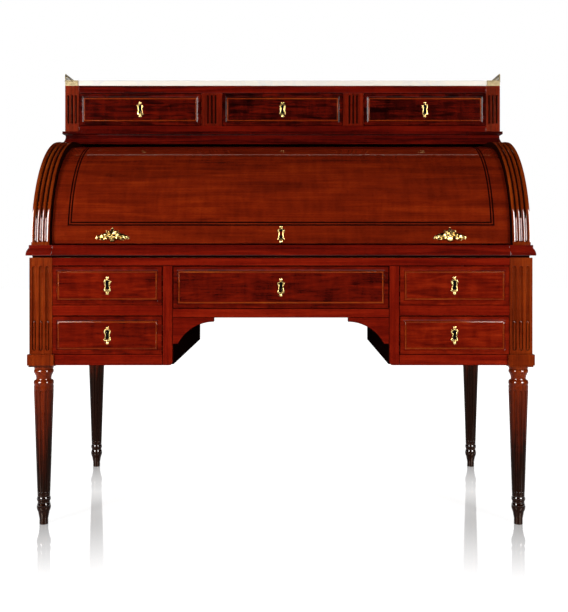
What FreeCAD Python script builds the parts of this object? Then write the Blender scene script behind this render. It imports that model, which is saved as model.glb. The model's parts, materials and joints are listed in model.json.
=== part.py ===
import FreeCAD, Part
import math
import os
import Sketcher

doc = FreeCAD.newDocument("cylinder_desk")
Vector = FreeCAD.Vector

# Driving sizes: millimetres, degrees for names ending in angle, plain numbers for counts
SIZES = {
    # plan of the carcase
    "body_width": 1334,
    "body_depth": 684,
    "post_side": 60,
    "cornice_throw": 8,
    "cornice_quirk": 5.5,
    "cornice_quirk_depth": 6,
    "kneehole_width": 574,
    "stile_width": 27,
    # heights from the floor upwards
    "turned_height": 424,
    "tier_height": 4.5,
    "bottom_rail_height": 29,
    "lower_drawer_height": 102.5,
    "middle_rail_height": 28.5,
    "upper_drawer_height": 104,
    "top_rail_height": 21.5,
    "cornice_height": 33.5,
    "centre_drawer_height": 113.5,
    "centre_rail_height": 24,
    # boards of the carcase
    "frame_board": 22,
    "panel_board": 16,
    "panel_recess": 6,
    "division_board": 18,
    "dust_board": 12,
    "runner_width": 25,
    "guide_height": 20,
    "bed_board": 8.5,
    "back_board": 16,
    "back_recess": 2,
    "stile_corner": 10,
    "field_margin": 55,
    "field_depth": 4,
    "field_slope_angle": 40,
    # legs
    "shaft_top_radius": 26,
    "shaft_foot_radius": 16.5,
    "tier_side": 64,
    "plinth_side": 70,
    "leg_flutes": 12,
    "leg_flute_top_radius": 4.6,
    "leg_flute_foot_radius": 2.9,
    # flutes and the rods that fill their lower part
    "post_flute_radius": 5.2,
    "post_flute_pitch": 17.5,
    "post_flute_stop": 10,
    "post_rod_height": 79,
    "rod_share": 0.72,
    "rod_sink": 0.5,
    # kneehole brackets
    "bracket_reach": 109,
    "bracket_drop": 70,
    "bracket_tip": 11,
    "bracket_foot": 14,
    "bracket_board": 20,
    # cylinder
    "axis_rise": 8,
    "quadrant_setback": 10,
    "quadrant_radius": 302.5,
    "quadrant_width": 58,
    "quadrant_depth": 40,
    "quadrant_tail": 69.5,
    "quadrant_flute_radius": 4.6,
    "quadrant_flute_pitch": 12.7,
    "quadrant_flute_margin": 24,
    "quadrant_step": 10,
    "quadrant_flute_start_angle": 0.8,
    "quadrant_rod_angle": 12.2,
    "quirk_radius": 1.4,
    "lining_board": 12,
    "cheek_board": 17,
    "cheek_recess": 3,
    "shell_drop": 15,
    "shell_foot_gap": 3.4,
    "shell_board": 22,
    "shell_angle": 97,
    "shell_panel_margin": 48,
    "shell_panel_angle": 9.9,
    "shell_bead_width": 7,
    "arm_board": 6,
    "arm_width": 13,
    "arm_setback": 7,
    "arm_low_angle": 16,
    "arm_high_angle": 76,
    "arm_foot": 46,
    "arm_foot_board": 5,
    "stud_radius": 5,
    "stud_length": 15,
    # writing slide
    "slide_lip": 20,
    "slide_depth": 500,
    "leather_margin": 50,
    "leather_end_margin": 65,
    "leather_depth": 380,
    "leather_height": 1.2,
    # pigeonholes
    "deck_board": 10,
    "deck_setback": 49.5,
    "nest_depth": 145,
    "nest_height": 170,
    "nest_margin": 17,
    "nest_board": 8,
    "nest_bay": 384,
    "nest_partition": 6,
    "nest_drawer_height": 69,
    "knob_radius": 6,
    "knob_length": 13,
    # upper case
    "upper_inset": 2,
    "upper_setback": 40.5,
    "upper_moulding_height": 39,
    "upper_moulding_throw": 7,
    "upper_moulding_width": 46,
    "upper_rail_height": 18.5,
    "upper_drawer_space": 99.5,
    "frieze_height": 22.5,
    "upper_side_board": 20,
    "corner_pilaster_width": 42,
    "pilaster_width": 63,
    "pilaster_centre": 216.5,
    "pilaster_flute_radius": 3.7,
    "pilaster_flute_pitch": 11.5,
    "pilaster_flute_stop": 5,
    "marble_height": 16.5,
    "gallery_board": 3,
    "gallery_height": 20,
    "gallery_return": 39,
    # drawers
    "drawer_front_board": 20,
    "drawer_front_proud": 1.5,
    "drawer_line_margin": 10,
    "drawer_line_depth": 2.5,
    "drawer_line_angle": 35,
    "drawer_side_board": 11,
    "drawer_back_board": 9,
    "drawer_bottom_board": 6,
    "drawer_bottom_rise": 6,
    "drawer_groove": 5,
    "drawer_side_share": 0.82,
    "tail_length": 14,
    "base_drawer_clearance": 108,
    "upper_drawer_clearance": 19,
    # mounts
    "escutcheon_width": 22,
    "escutcheon_length": 49,
    "escutcheon_board": 2,
    "keyhole_radius": 5.2,
    "lock_width": 62,
    "lock_height": 44,
    "lock_board": 12,
    "handle_inset": 150,
    "handle_rise": 20.5,
    "handle_width": 95,
    "handle_height": 40,
    "handle_stand": 17,
    # clearances
    "drawer_gap": 1.6,
    "running_gap": 0.6,
    "round_gap": 0.3,
    "bearing_gap": 0.05,
}

sheet = doc.addObject("Spreadsheet::Sheet", "Sizes")
for row, (alias, number) in enumerate(SIZES.items(), start=1):
    sheet.set(f"A{row}", alias)
    sheet.set(f"B{row}", str(number))
    sheet.setAlias(f"B{row}", alias)
doc.recompute()


class Size:
    """A length with its present value and its formula over the sheet's cells."""

    def __init__(self, value, formula):
        self.value = value
        self.formula = formula

    def __add__(self, other):
        other = as_size(other)
        return Size(self.value + other.value, f"({self.formula} + {other.formula})")

    def __sub__(self, other):
        other = as_size(other)
        return Size(self.value - other.value, f"({self.formula} - {other.formula})")

    def __mul__(self, other):
        other = as_size(other)
        return Size(self.value * other.value, f"({self.formula} * {other.formula})")

    def __truediv__(self, other):
        other = as_size(other)
        return Size(self.value / other.value, f"({self.formula} / {other.formula})")

    def __radd__(self, other):
        return as_size(other) + self

    def __rsub__(self, other):
        return as_size(other) - self

    def __rmul__(self, other):
        return as_size(other) * self

    def __neg__(self):
        return Size(-self.value, f"(0 - {self.formula})")


def as_size(number):
    """A plain number as a Size; a Size is returned as it is."""
    if isinstance(number, Size):
        return number
    return Size(number, f"({number!r})")


def root(size):
    return Size(math.sqrt(size.value), f"sqrt({size.formula})")


def cosine(angle):
    return Size(math.cos(math.radians(angle.value)), f"cos({angle.formula} * 1 deg)")


def sine(angle):
    return Size(math.sin(math.radians(angle.value)), f"sin({angle.formula} * 1 deg)")


class Cells:
    """Each cell of the sheet as an attribute."""


d = Cells()
for alias in SIZES:
    setattr(d, alias, Size(float(getattr(sheet, alias)), f"Sizes.{alias}"))

ZERO = Size(0.0, "0")
QUARTER_RISE = 1 - math.sqrt(0.5)
TURN = 360
PLANES = {"XY": ("XY_Plane", 1), "XZ": ("XZ_Plane", -1), "YZ": ("YZ_Plane", 1)}


def bind(feature, **formulas):
    """Tie properties of a feature to the sheet."""
    for name, size in formulas.items():
        feature.setExpression(name.replace("__", "."), as_size(size).formula)
    return feature


def place(feature, x=ZERO, y=ZERO, z=ZERO, rotation=None):
    """Seat a feature at a point that follows the sheet."""
    if rotation is not None:
        feature.Placement = FreeCAD.Placement(Vector(), rotation)
    return bind(feature, Placement__Base__x=x, Placement__Base__y=y, Placement__Base__z=z)


def board(name, x, y, z):
    """A sawn board between two limits on each axis."""
    box = doc.addObject("Part::Box", name)
    bind(box, Length=x[1] - x[0], Width=y[1] - y[0], Height=z[1] - z[0])
    return place(box, x[0], y[0], z[0])


def origin_plane(body, role):
    return next(item for item in body.Origin.OriginFeatures if item.Role == role)


def edge_geometry(start, end, rise):
    """A line, or an arc bulging left of the way by rise; tells whether the arc runs backwards."""
    if rise is None:
        return Part.LineSegment(start, end), False
    chord = end - start
    left = Vector(-chord.y, chord.x, 0).normalize()
    radius = (chord.Length ** 2 / 4 + rise ** 2) / (2 * abs(rise))
    side = 1 if rise > 0 else -1
    centre = (start + end) * 0.5 + left * (side * (abs(rise) - radius))
    begin, finish = (end, start) if rise > 0 else (start, end)
    angles = [math.atan2(point.y - centre.y, point.x - centre.x) for point in (begin, finish)]
    if angles[1] <= angles[0]:
        angles[1] += 2 * math.pi
    circle = Part.Circle(centre, Vector(0, 0, 1), radius)
    return Part.ArcOfCircle(circle, *angles), rise > 0


def add_circle(sketch, u, v, radius):
    """A circle whose centre and radius follow the sheet."""
    start = sketch.ConstraintCount
    edge = sketch.addGeometry(Part.Circle(Vector(u.value, v.value, 0), Vector(0, 0, 1), radius.value))
    sketch.addConstraint([
        Sketcher.Constraint("DistanceX", -1, 1, edge, 3, u.value),
        Sketcher.Constraint("DistanceY", -1, 1, edge, 3, v.value),
        Sketcher.Constraint("Radius", edge, radius.value)])
    for index, size in enumerate((u, v, radius)):
        sketch.setExpression(f"Constraints[{start + index}]", size.formula)


def outline(body, plane, level, loops, shift=ZERO):
    """A sketch of closed loops; a corner is (u, v) or (u, v, rise of the arc that arrives there)."""
    role, sign = PLANES[plane]
    sketch = body.newObject("Sketcher::SketchObject", f"{body.Name}_sketch")
    sketch.AttachmentSupport = [(origin_plane(body, role), "")]
    sketch.MapMode = "FlatFace"
    bind(sketch, AttachmentOffset__Base__x=shift, AttachmentOffset__Base__z=level * sign)
    for corners in loops:
        first = sketch.GeometryCount
        if len(corners) == 1:
            add_circle(sketch, *corners[0])
            continue
        ends = []
        points = [Vector(corner[0].value, corner[1].value, 0) for corner in corners]
        rises = [corner[2] if len(corner) > 2 else None for corner in corners]
        count = len(corners)
        for index in range(count):
            rise = rises[(index + 1) % count]
            bulge = None if rise is None else rise.value
            shape, backwards = edge_geometry(points[index], points[(index + 1) % count], bulge)
            sketch.addGeometry(shape)
            ends.append((2, 1) if backwards else (1, 2))
        ties = []
        formulas = []
        for index in range(count):
            after = (index + 1) % count
            edge = first + index
            ties.append(Sketcher.Constraint("Coincident", edge, ends[index][1],
                                            first + after, ends[after][0]))
            formulas.append(None)
            for kind, place_on_axis in (("DistanceX", 0), ("DistanceY", 1)):
                size = corners[index][place_on_axis]
                ties.append(Sketcher.Constraint(kind, -1, 1, edge, ends[index][0], size.value))
                formulas.append(size.formula)
            rise = rises[after]
            if rise is not None:
                across = corners[after][0] - corners[index][0]
                along = corners[after][1] - corners[index][1]
                size = (across * across + along * along) / (8 * rise) + rise / 2
                size = size if rise.value > 0 else -size
                ties.append(Sketcher.Constraint("Radius", edge, size.value))
                formulas.append(size.formula)
        start = sketch.ConstraintCount
        sketch.addConstraint(ties)
        for index, formula in enumerate(formulas):
            if formula is not None:
                sketch.setExpression(f"Constraints[{start + index}]", formula)
    return sketch


def rectangle(u, v):
    return [(u[0], v[0]), (u[1], v[0]), (u[1], v[1]), (u[0], v[1])]


def hoop(u, v, radius):
    """A full circle, as a loop of one centre."""
    return [(u, v, radius)]


def backwards(edge):
    """The same run of corners walked the other way."""
    turned = []
    for index in range(len(edge) - 1, -1, -1):
        corner = edge[index][:2]
        if index + 1 < len(edge) and len(edge[index + 1]) > 2:
            corner += (-edge[index + 1][2],)
        turned.append(corner)
    return turned


def prism(name, plane, low, high, corners):
    """A body whose outline on a plane is carried from one level to another."""
    body = doc.addObject("PartDesign::Body", name)
    return add_prism(body, plane, low, high, [corners])


def add_prism(body, plane, low, high, loops):
    sketch = outline(body, plane, low, loops)
    pad = body.newObject("PartDesign::Pad", f"{body.Name}_pad")
    pad.Profile = sketch
    pad.Reversed = plane == "XZ"
    bind(pad, Length=high - low)
    return body


def sink(body, plane, level, loops, depth, towards, slope=None):
    """A pocket from a level, towards +1 or -1 along the plane's axis."""
    pocket = body.newObject("PartDesign::Pocket", f"{body.Name}_pocket")
    pocket.Profile = outline(body, plane, level, loops)
    pocket.Reversed = (towards > 0) != (plane == "XZ")
    bind(pocket, Length=depth)
    if slope is not None:
        bind(pocket, TaperAngle=-slope)
    return body


def capsule(low, high, radius, side):
    """Half the outline of a round-ended rod standing on its own axis."""
    rise = radius * QUARTER_RISE * -side
    return [(ZERO, low), (radius * side, low + radius, rise),
            (radius * side, high - radius), (ZERO, high, rise)]


def upright_rods(body, plane, face, side, centre, pitch, count, low, high, radius, kind):
    """A row of round-ended flutes cut in a face, or of rods laid along it."""
    reach = pitch * ((count - 1) / 2)
    first = centre - reach
    profile = outline(body, plane, first, [capsule(low, high, radius, side)], shift=face)
    turned = body.newObject(f"PartDesign::{kind}", f"{body.Name}_{kind.lower()}")
    turned.Profile = profile
    turned.ReferenceAxis = (profile, ["V_Axis"])
    turned.Angle = TURN
    row = body.newObject("PartDesign::LinearPattern", f"{body.Name}_row")
    row.Originals = [turned]
    row.Direction = (profile, ["N_Axis"])
    row.Reversed = plane == "XZ"
    row.Occurrences = count
    bind(row, Length=reach * 2)
    body.Tip = row
    return body


def mirrored(name, source, normal):
    twin = doc.addObject("Part::Mirroring", name)
    twin.Source = source
    twin.Normal = normal
    return twin


def joined(name, pieces):
    fusion = doc.addObject("Part::MultiFuse", name)
    fusion.Shapes = pieces
    return fusion


def cut_away(name, base, tool):
    rest = doc.addObject("Part::Cut", name)
    rest.Base = base
    rest.Tool = tool
    return rest


def shared(name, pieces):
    common = doc.addObject("Part::MultiCommon", name)
    common.Shapes = pieces
    return common


NODES = {}


def node(name, pieces):
    """A sub-part made of one piece, or of several separate ones."""
    if len(pieces) == 1:
        part = pieces[0]
    else:
        part = doc.addObject("Part::Compound", f"{name}_set")
        part.Links = pieces
    part.Label = name
    NODES[name] = part
    return part


FLUTES = 3
LEFT_RIGHT = Vector(1, 0, 0)
FRONT_REAR = Vector(0, 1, 0)

# Limits of the carcase in plan
half_width = d.body_width / 2
front = -d.body_depth / 2
back = d.body_depth / 2
post_inner = half_width - d.post_side
knee = d.kneehole_width / 2
stile_outer = knee + d.stile_width
frame_back = front + d.frame_board
back_inner = back - d.back_board
panel_outer = half_width - d.panel_recess
panel_inner = panel_outer - d.panel_board
division_outer = knee + d.division_board

# Levels of the carcase
tier_top = d.turned_height + d.tier_height
bottom_rail_top = tier_top + d.bottom_rail_height
plinth_top = bottom_rail_top
lower_space_top = bottom_rail_top + d.lower_drawer_height
middle_rail_top = lower_space_top + d.middle_rail_height
top_rail_under = middle_rail_top + d.upper_drawer_height
carcase_top = top_rail_under + d.top_rail_height
desk_top = carcase_top + d.cornice_height
centre_rail_top = top_rail_under - d.centre_drawer_height
centre_rail_under = centre_rail_top - d.centre_rail_height

# Cylinder and upper case
axis_y = front + d.quadrant_setback + d.quadrant_radius
axis_z = desk_top + d.axis_rise
quadrant_top = axis_z + d.quadrant_radius
quadrant_inner = d.quadrant_radius - d.quadrant_depth
quadrant_outer_x = post_inner + d.quadrant_width
wall_x = post_inner + d.quadrant_step
shell_outer = d.quadrant_radius - d.shell_drop
shell_inner = shell_outer - d.shell_board
upper_floor_level = quadrant_top + d.upper_moulding_height
upper_rail_top = upper_floor_level + d.upper_rail_height
upper_space_top = upper_rail_top + d.upper_drawer_space
upper_top = upper_space_top + d.frieze_height
upper_half = half_width - d.upper_inset
upper_front = axis_y + d.upper_setback
upper_inner = upper_half - d.upper_side_board
upper_frame_back = upper_front + d.frame_board

# Turned profile of a leg: share of its height, share of the shaft's top radius, bulge share
TURNING = (
    (0.000, 0.44, None), (0.035, 0.44, None), (0.080, 0.58, None), (0.134, 0.63, 0.10),
    (0.139, 0.61, None), (0.146, 0.63, None), (0.175, 0.63, 0.07),
)
SHAFT_FOOT = 0.186
SHAFT_TOP = 0.870
NECK = (
    (0.882, 0.96, None), (0.908, 0.96, 0.06), (0.915, 0.77, None), (0.950, 0.89, -0.05),
    (0.953, 0.90, None), (0.981, 0.90, 0.10), (0.984, 0.97, None), (1.000, 0.97, None),
)
FLUTE_FOOT = 0.207
FLUTE_TOP = 0.840


def turned_corner(share, girth, bulge):
    corner = (d.shaft_top_radius * girth, d.turned_height * share)
    if bulge is None:
        return corner
    return corner + (d.shaft_top_radius * -bulge,)


def shaft_radius(share):
    taper = (d.shaft_top_radius - d.shaft_foot_radius) / (SHAFT_TOP - SHAFT_FOOT)
    return d.shaft_foot_radius + taper * (share - SHAFT_FOOT)


def square(side):
    return rectangle((-side / 2, side / 2), (-side / 2, side / 2))


def leg(name):
    """One corner post with its plinth block and the turned, fluted leg below."""
    body = doc.addObject("PartDesign::Body", name)
    corners = [(ZERO, ZERO)]
    corners += [turned_corner(*station) for station in TURNING]
    corners.append((d.shaft_foot_radius, d.turned_height * SHAFT_FOOT))
    corners.append((d.shaft_top_radius, d.turned_height * SHAFT_TOP))
    corners += [turned_corner(*station) for station in NECK]
    corners.append((ZERO, d.turned_height))
    sketch = outline(body, "XZ", ZERO, [corners])
    turned = body.newObject("PartDesign::Revolution", f"{name}_turned")
    turned.Profile = sketch
    turned.ReferenceAxis = (sketch, ["V_Axis"])
    turned.Angle = TURN
    run_out = shaft_radius(FLUTE_TOP) - shaft_radius(FLUTE_FOOT)
    run_up = d.turned_height * (FLUTE_TOP - FLUTE_FOOT)
    length = root(run_out * run_out + run_up * run_up)
    lean = math.degrees(math.atan2(run_out.value, run_up.value))
    foot = d.leg_flute_foot_radius
    top = d.leg_flute_top_radius
    tapered = outline(body, "XZ", ZERO, [[
        (ZERO, -foot), (foot, ZERO, foot * -QUARTER_RISE), (top, length),
        (ZERO, length + top, top * -QUARTER_RISE)]], shift=shaft_radius(FLUTE_FOOT))
    tapered.AttachmentOffset = FreeCAD.Placement(Vector(), FreeCAD.Rotation(Vector(0, 0, 1), -lean))
    bind(tapered, AttachmentOffset__Base__y=d.turned_height * FLUTE_FOOT)
    flute = body.newObject("PartDesign::Groove", f"{name}_flute")
    flute.Profile = tapered
    flute.ReferenceAxis = (tapered, ["V_Axis"])
    flute.Angle = TURN
    ring_of_flutes = body.newObject("PartDesign::PolarPattern", f"{name}_flutes")
    ring_of_flutes.Originals = [flute]
    ring_of_flutes.Axis = (origin_plane(body, "Z_Axis"), [""])
    ring_of_flutes.Angle = TURN
    bind(ring_of_flutes, Occurrences=d.leg_flutes)
    body.Tip = ring_of_flutes
    add_prism(body, "XY", d.turned_height, tier_top, [square(d.tier_side)])
    add_prism(body, "XY", tier_top, plinth_top, [square(d.plinth_side)])
    add_prism(body, "XY", plinth_top, carcase_top, [square(d.post_side)])
    face = -d.post_side / 2
    low = plinth_top + d.post_flute_stop
    rod = d.post_flute_radius * d.rod_share
    for plane in ("YZ", "XZ"):
        upright_rods(body, plane, face, 1, ZERO, d.post_flute_pitch, FLUTES,
                     low, top_rail_under, d.post_flute_radius, "Groove")
        upright_rods(body, plane, face + rod + d.rod_sink, 1, ZERO, d.post_flute_pitch, FLUTES,
                     low + d.rod_sink, low + d.post_rod_height, rod, "Revolution")
    return place(body, -half_width + d.post_side / 2, front + d.post_side / 2)


leg_front_left = node("leg_front_left", [leg("leg_front_left")])
leg_front_right = node("leg_front_right", [mirrored("leg_fr", leg_front_left, LEFT_RIGHT)])
leg_rear_left = node("leg_rear_left", [mirrored("leg_rl", leg_front_left, FRONT_REAR)])
node("leg_rear_right", [mirrored("leg_rr", leg_front_right, FRONT_REAR)])


def panelled(name, plane, low, high, corners, u, face_level, towards):
    """A board with a sunk field on its show face."""
    body = prism(name, plane, low, high, corners)
    field = rectangle((u[0] + d.field_margin, u[1] - d.field_margin),
                      (tier_top + d.field_margin, carcase_top - d.field_margin))
    return sink(body, plane, face_level, [field], d.field_depth, towards, d.field_slope_angle)


# Side and back panels of the base, notched round the plinth blocks
post_back = front + d.post_side
plinth_proud = (d.plinth_side - d.post_side) / 2
plinth_back = post_back + plinth_proud
plinth_inner = post_inner - plinth_proud
side_span = (post_back, -post_back)
base_side_left = node("base_side_left", [panelled(
    "base_side_left", "YZ", -panel_outer, -panel_inner, [
        (plinth_back, tier_top), (-plinth_back, tier_top), (-plinth_back, plinth_top),
        (-post_back, plinth_top), (-post_back, carcase_top), (post_back, carcase_top),
        (post_back, plinth_top), (plinth_back, plinth_top)],
    side_span, -panel_outer, 1)])
node("base_side_right", [mirrored("base_side_r", base_side_left, LEFT_RIGHT)])
back_face = back - d.back_recess
back_left = panelled("back_left", "XZ", back_inner, back_face, [
    (-plinth_inner, tier_top), (-knee, tier_top), (-knee, carcase_top),
    (-post_inner, carcase_top), (-post_inner, plinth_top), (-plinth_inner, plinth_top)],
    (-post_inner, -knee), back_face, -1)
back_centre = board("back_centre", (-knee, knee), (back_inner, back_face),
                    (centre_rail_under, carcase_top))
node("base_back", [back_left, back_centre, mirrored("back_right", back_left, LEFT_RIGHT)])

# Kneehole sides, stiles and the rails of the front
levels = (tier_top, carcase_top)
kneehole_left = board("kneehole_left", (-division_outer, -knee), (frame_back, back_inner), levels)
node("kneehole_sides", [kneehole_left, mirrored("kneehole_right", kneehole_left, LEFT_RIGHT)])
corner = d.stile_corner
stile = prism("stile_left", "XZ", front, frame_back, [
    (-stile_outer, tier_top), (-knee - corner, tier_top),
    (-knee, tier_top + corner, corner * -QUARTER_RISE),
    (-knee, top_rail_under), (-stile_outer, top_rail_under)])
node("kneehole_stiles", [stile, mirrored("stile_right", stile, LEFT_RIGHT)])
frame = (front, frame_back)
top_rail = board("top_rail", (-post_inner, post_inner), frame, (top_rail_under, carcase_top))
centre_rail = board("centre_rail", (-knee, knee), frame, (centre_rail_under, centre_rail_top))
rails = [top_rail, centre_rail]
for name, end, low, high in (("middle_rail", -post_inner, lower_space_top, middle_rail_top),
                             ("bottom_rail", -plinth_inner, tier_top, bottom_rail_top)):
    rail = board(f"{name}_left", (end, -stile_outer), frame, (low, high))
    rails += [rail, mirrored(f"{name}_right", rail, LEFT_RIGHT)]
node("front_rails", rails)

# Concave brackets under the centre rail
tip_x = -knee + d.bracket_reach
foot_z = centre_rail_under - d.bracket_drop
sweep_u = d.bracket_reach - d.bracket_foot
sweep_v = d.bracket_drop - d.bracket_tip
BRACKET_RISE = 0.14
sweep = root(sweep_u * sweep_u + sweep_v * sweep_v)
bracket = prism("bracket_left", "XZ", front, front + d.bracket_board, [
    (-knee, foot_z), (-knee + d.bracket_foot, foot_z),
    (tip_x, centre_rail_under - d.bracket_tip, sweep * BRACKET_RISE),
    (tip_x, centre_rail_under), (-knee, centre_rail_under)])
node("kneehole_brackets", [bracket, mirrored("bracket_right", bracket, LEFT_RIGHT)])

# Dust boards, guides and runners that carry the base drawers
run = (frame_back, back_inner)
carriers = []
for name, top in (("lower", bottom_rail_top), ("upper", middle_rail_top)):
    under = top - d.dust_board
    pieces = [
        board(f"dust_{name}", (-plinth_inner, -division_outer), run, (under, top)),
        board(f"guide_in_{name}", (-stile_outer, -division_outer), run, (top, top + d.guide_height)),
        board(f"guide_out_{name}", (-panel_inner, -post_inner), (plinth_back, -plinth_back),
              (under, top + d.guide_height)),
    ]
    carriers += pieces + [mirrored(f"{piece.Name}_right", piece, LEFT_RIGHT) for piece in pieces]
runner = board("centre_runner", (-knee, -knee + d.runner_width), run,
               (centre_rail_under, centre_rail_top))
carriers += [runner, mirrored("centre_runner_right", runner, LEFT_RIGHT)]
node("drawer_runners", carriers)

# Bed under the writing slide
lip_back = front - d.cornice_throw + d.slide_lip
bed_front = lip_back + d.running_gap
bed_top = carcase_top + d.bed_board
node("slide_bed", [board("slide_bed", (-post_inner, post_inner), (bed_front, back_inner),
                         (carcase_top, bed_top))])

# Cornice profile: outward throw against height, from the foot up
FILLET = 0.24
NECKING = 0.2


def cornice_edge(face, side, low, high):
    """Corners of the moulded edge from low to high; face is the wall line and side its outward sign."""
    height = high - low
    full = face + d.cornice_throw * side
    quirk = face - d.cornice_quirk_depth * side
    return [
        (quirk, low),
        (quirk, low + d.cornice_quirk),
        (full, low + d.cornice_quirk),
        (full, low + height * FILLET),
        (face + d.cornice_throw * (NECKING * side), high - height * FILLET,
         d.cornice_throw * (NECKING * -side)),
        (face + d.cornice_throw * (NECKING * side), high),
    ]


outer_edge = cornice_edge(-half_width, -1, carcase_top, desk_top)
front_edge = cornice_edge(front, -1, carcase_top, desk_top)
rear_edge = cornice_edge(back, 1, carcase_top, desk_top)
reach = half_width + d.cornice_throw
length = prism("cornice_length", "XZ", front - d.cornice_throw, back + d.cornice_throw,
               outer_edge + [(-post_inner, desk_top), (-post_inner, carcase_top)])
ends = prism("cornice_ends", "YZ", -reach, -post_inner, front_edge + backwards(rear_edge))
cornice_left = shared("cornice_left", [length, ends])
cornice_rear = prism("cornice_rear", "YZ", -post_inner, post_inner, rear_edge + [
    (back_inner, desk_top), (back_inner, carcase_top)])
node("cornice", [cornice_left, mirrored("cornice_right", cornice_left, LEFT_RIGHT), cornice_rear])

# Quadrants: curved fluted posts at the two ends of the cylinder
ABOUT_AXIS = FreeCAD.Rotation(Vector(0, -1, 0), Vector(0, 0, 1), Vector(-1, 0, 0), "XYZ")
RIGHT_ANGLE = 90


def quadrant_band(outer, inner, foot, tail):
    """Outline of a quarter ring about the axis with a straight foot and a straight tail."""
    return [
        (axis_y - outer, foot), (axis_y - inner, foot), (axis_y - inner, axis_z),
        (axis_y, axis_z + inner, inner * QUARTER_RISE), (tail, axis_z + inner),
        (tail, axis_z + outer), (axis_y, axis_z + outer),
        (axis_y - outer, axis_z, outer * -QUARTER_RISE),
    ]


def arc_rod(name, x, radius, thickness, start, end):
    """A round rod bent about the axis between two angles, measured up from the front."""
    rod = doc.addObject("Part::Torus", name)
    bind(rod, Radius1=radius, Radius2=thickness, Angle3=end - start)
    raised = FreeCAD.Rotation(Vector(-1, 0, 0), start.value).multiply(ABOUT_AXIS)
    return place(rod, x, axis_y, axis_z, raised)


def ball(name, x, y, z, radius):
    sphere = doc.addObject("Part::Sphere", name)
    bind(sphere, Radius=radius)
    return place(sphere, x, y, z)


def on_arc(radius, angle):
    """Point on a circle about the axis, measured up from the front."""
    return axis_y - radius * cosine(angle), axis_z + radius * sine(angle)


tail_y = axis_y + d.quadrant_tail
blank = prism("quadrant_blank", "YZ", -quadrant_outer_x, -wall_x,
              quadrant_band(d.quadrant_radius, quadrant_inner, desk_top, tail_y))
flutes = []
rods = []
rod_radius = d.quadrant_flute_radius * d.rod_share
rod_seat = d.quadrant_radius - rod_radius - d.rod_sink
start = d.quadrant_flute_start_angle
upright = as_size(RIGHT_ANGLE)
for index in range(FLUTES):
    x = -quadrant_outer_x + d.quadrant_flute_margin + d.quadrant_flute_pitch * (index - 1)
    flutes.append(arc_rod(f"flute_{index}", x, d.quadrant_radius, d.quadrant_flute_radius, start, upright))
    foot_point = on_arc(d.quadrant_radius, start)
    flutes.append(ball(f"flute_foot_{index}", x, *foot_point, d.quadrant_flute_radius))
    straight = doc.addObject("Part::Cylinder", f"flute_tail_{index}")
    bind(straight, Radius=d.quadrant_flute_radius, Height=d.quadrant_tail)
    place(straight, x, axis_y, quadrant_top, FreeCAD.Rotation(Vector(1, 0, 0), -RIGHT_ANGLE))
    flutes.append(straight)
    rods.append(arc_rod(f"rod_{index}", x, rod_seat, rod_radius, start, d.quadrant_rod_angle))
    rods.append(ball(f"rod_tip_{index}", x, *on_arc(rod_seat, d.quadrant_rod_angle), rod_radius))
    rods.append(ball(f"rod_foot_{index}", x, *on_arc(rod_seat, start), rod_radius))
fluted = cut_away("quadrant_fluted", blank, joined("quadrant_flutes", flutes))
quadrant_left = node("quadrant_left", [joined("quadrant_left", [fluted] + rods)])
node("quadrant_right", [mirrored("quadrant_r", quadrant_left, LEFT_RIGHT)])

# Cylinder sides: an outer cheek and an inner lining with the bore of the pivot
cheek_radius = quadrant_inner - d.round_gap


def cheek_outline(rear):
    """Everything behind the inner curve of the quadrant, back to the rear."""
    return [
        (axis_y - cheek_radius, desk_top), (rear, desk_top), (rear, quadrant_top),
        (tail_y, quadrant_top), (tail_y, axis_z + cheek_radius), (axis_y, axis_z + cheek_radius),
        (axis_y - cheek_radius, axis_z, cheek_radius * -QUARTER_RISE)]


cheek_x = -quadrant_outer_x + d.cheek_recess
cheek = prism("cheek_left", "YZ", cheek_x, cheek_x + d.cheek_board, cheek_outline(back))
lining = prism("lining_left", "YZ", -wall_x - d.lining_board, -wall_x, cheek_outline(back_inner))
bore_radius = d.stud_radius + d.bearing_gap
sink(lining, "YZ", -wall_x, [hoop(axis_y, axis_z, bore_radius)], d.lining_board, -1)
node("cylinder_side_left", [cheek, lining])
node("cylinder_side_right", [mirrored("cheek_right", cheek, LEFT_RIGHT),
                             mirrored("lining_right", lining, LEFT_RIGHT)])
cheek_inner = -cheek_x - d.cheek_board
node("upper_back", [board("upper_back", (-cheek_inner, cheek_inner), (back_inner, back),
                          (desk_top, upper_top))])

# Upper moulding: projecting fillet above a hollow that flares to its foot
FLARE_FOOT = 0.1
HOLLOW_TOP = 0.78
HOLLOW_RISE = 0.55


def flare_edge(face, side, low, high):
    height = high - low
    full = face + d.upper_moulding_throw * side
    return [
        (full, low), (full, low + height * FLARE_FOOT),
        (face, low + height * HOLLOW_TOP, d.upper_moulding_throw * (HOLLOW_RISE * side)),
        (full, low + height * HOLLOW_TOP), (full, high),
    ]


side_edge = flare_edge(-upper_half, -1, quadrant_top, upper_floor_level)
moulded_front = flare_edge(upper_front, -1, quadrant_top, upper_floor_level)
twin_edge = backwards(flare_edge(upper_half, 1, quadrant_top, upper_floor_level))
moulding_front_y = upper_front - d.upper_moulding_throw
across = prism("moulding_across", "XZ", moulding_front_y, back, side_edge + twin_edge)
along = prism("moulding_along", "YZ", -upper_half - d.upper_moulding_throw,
              upper_half + d.upper_moulding_throw,
              moulded_front + [(back, upper_floor_level), (back, quadrant_top)])
moulding_well = board("moulding_well", (-cheek_inner, cheek_inner),
                      (moulding_front_y + d.upper_moulding_width, back + d.upper_moulding_width),
                      (quadrant_top, upper_floor_level))
node("upper_moulding", [cut_away("upper_moulding", shared("moulding_solid", [across, along]),
                                 moulding_well)])

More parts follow.
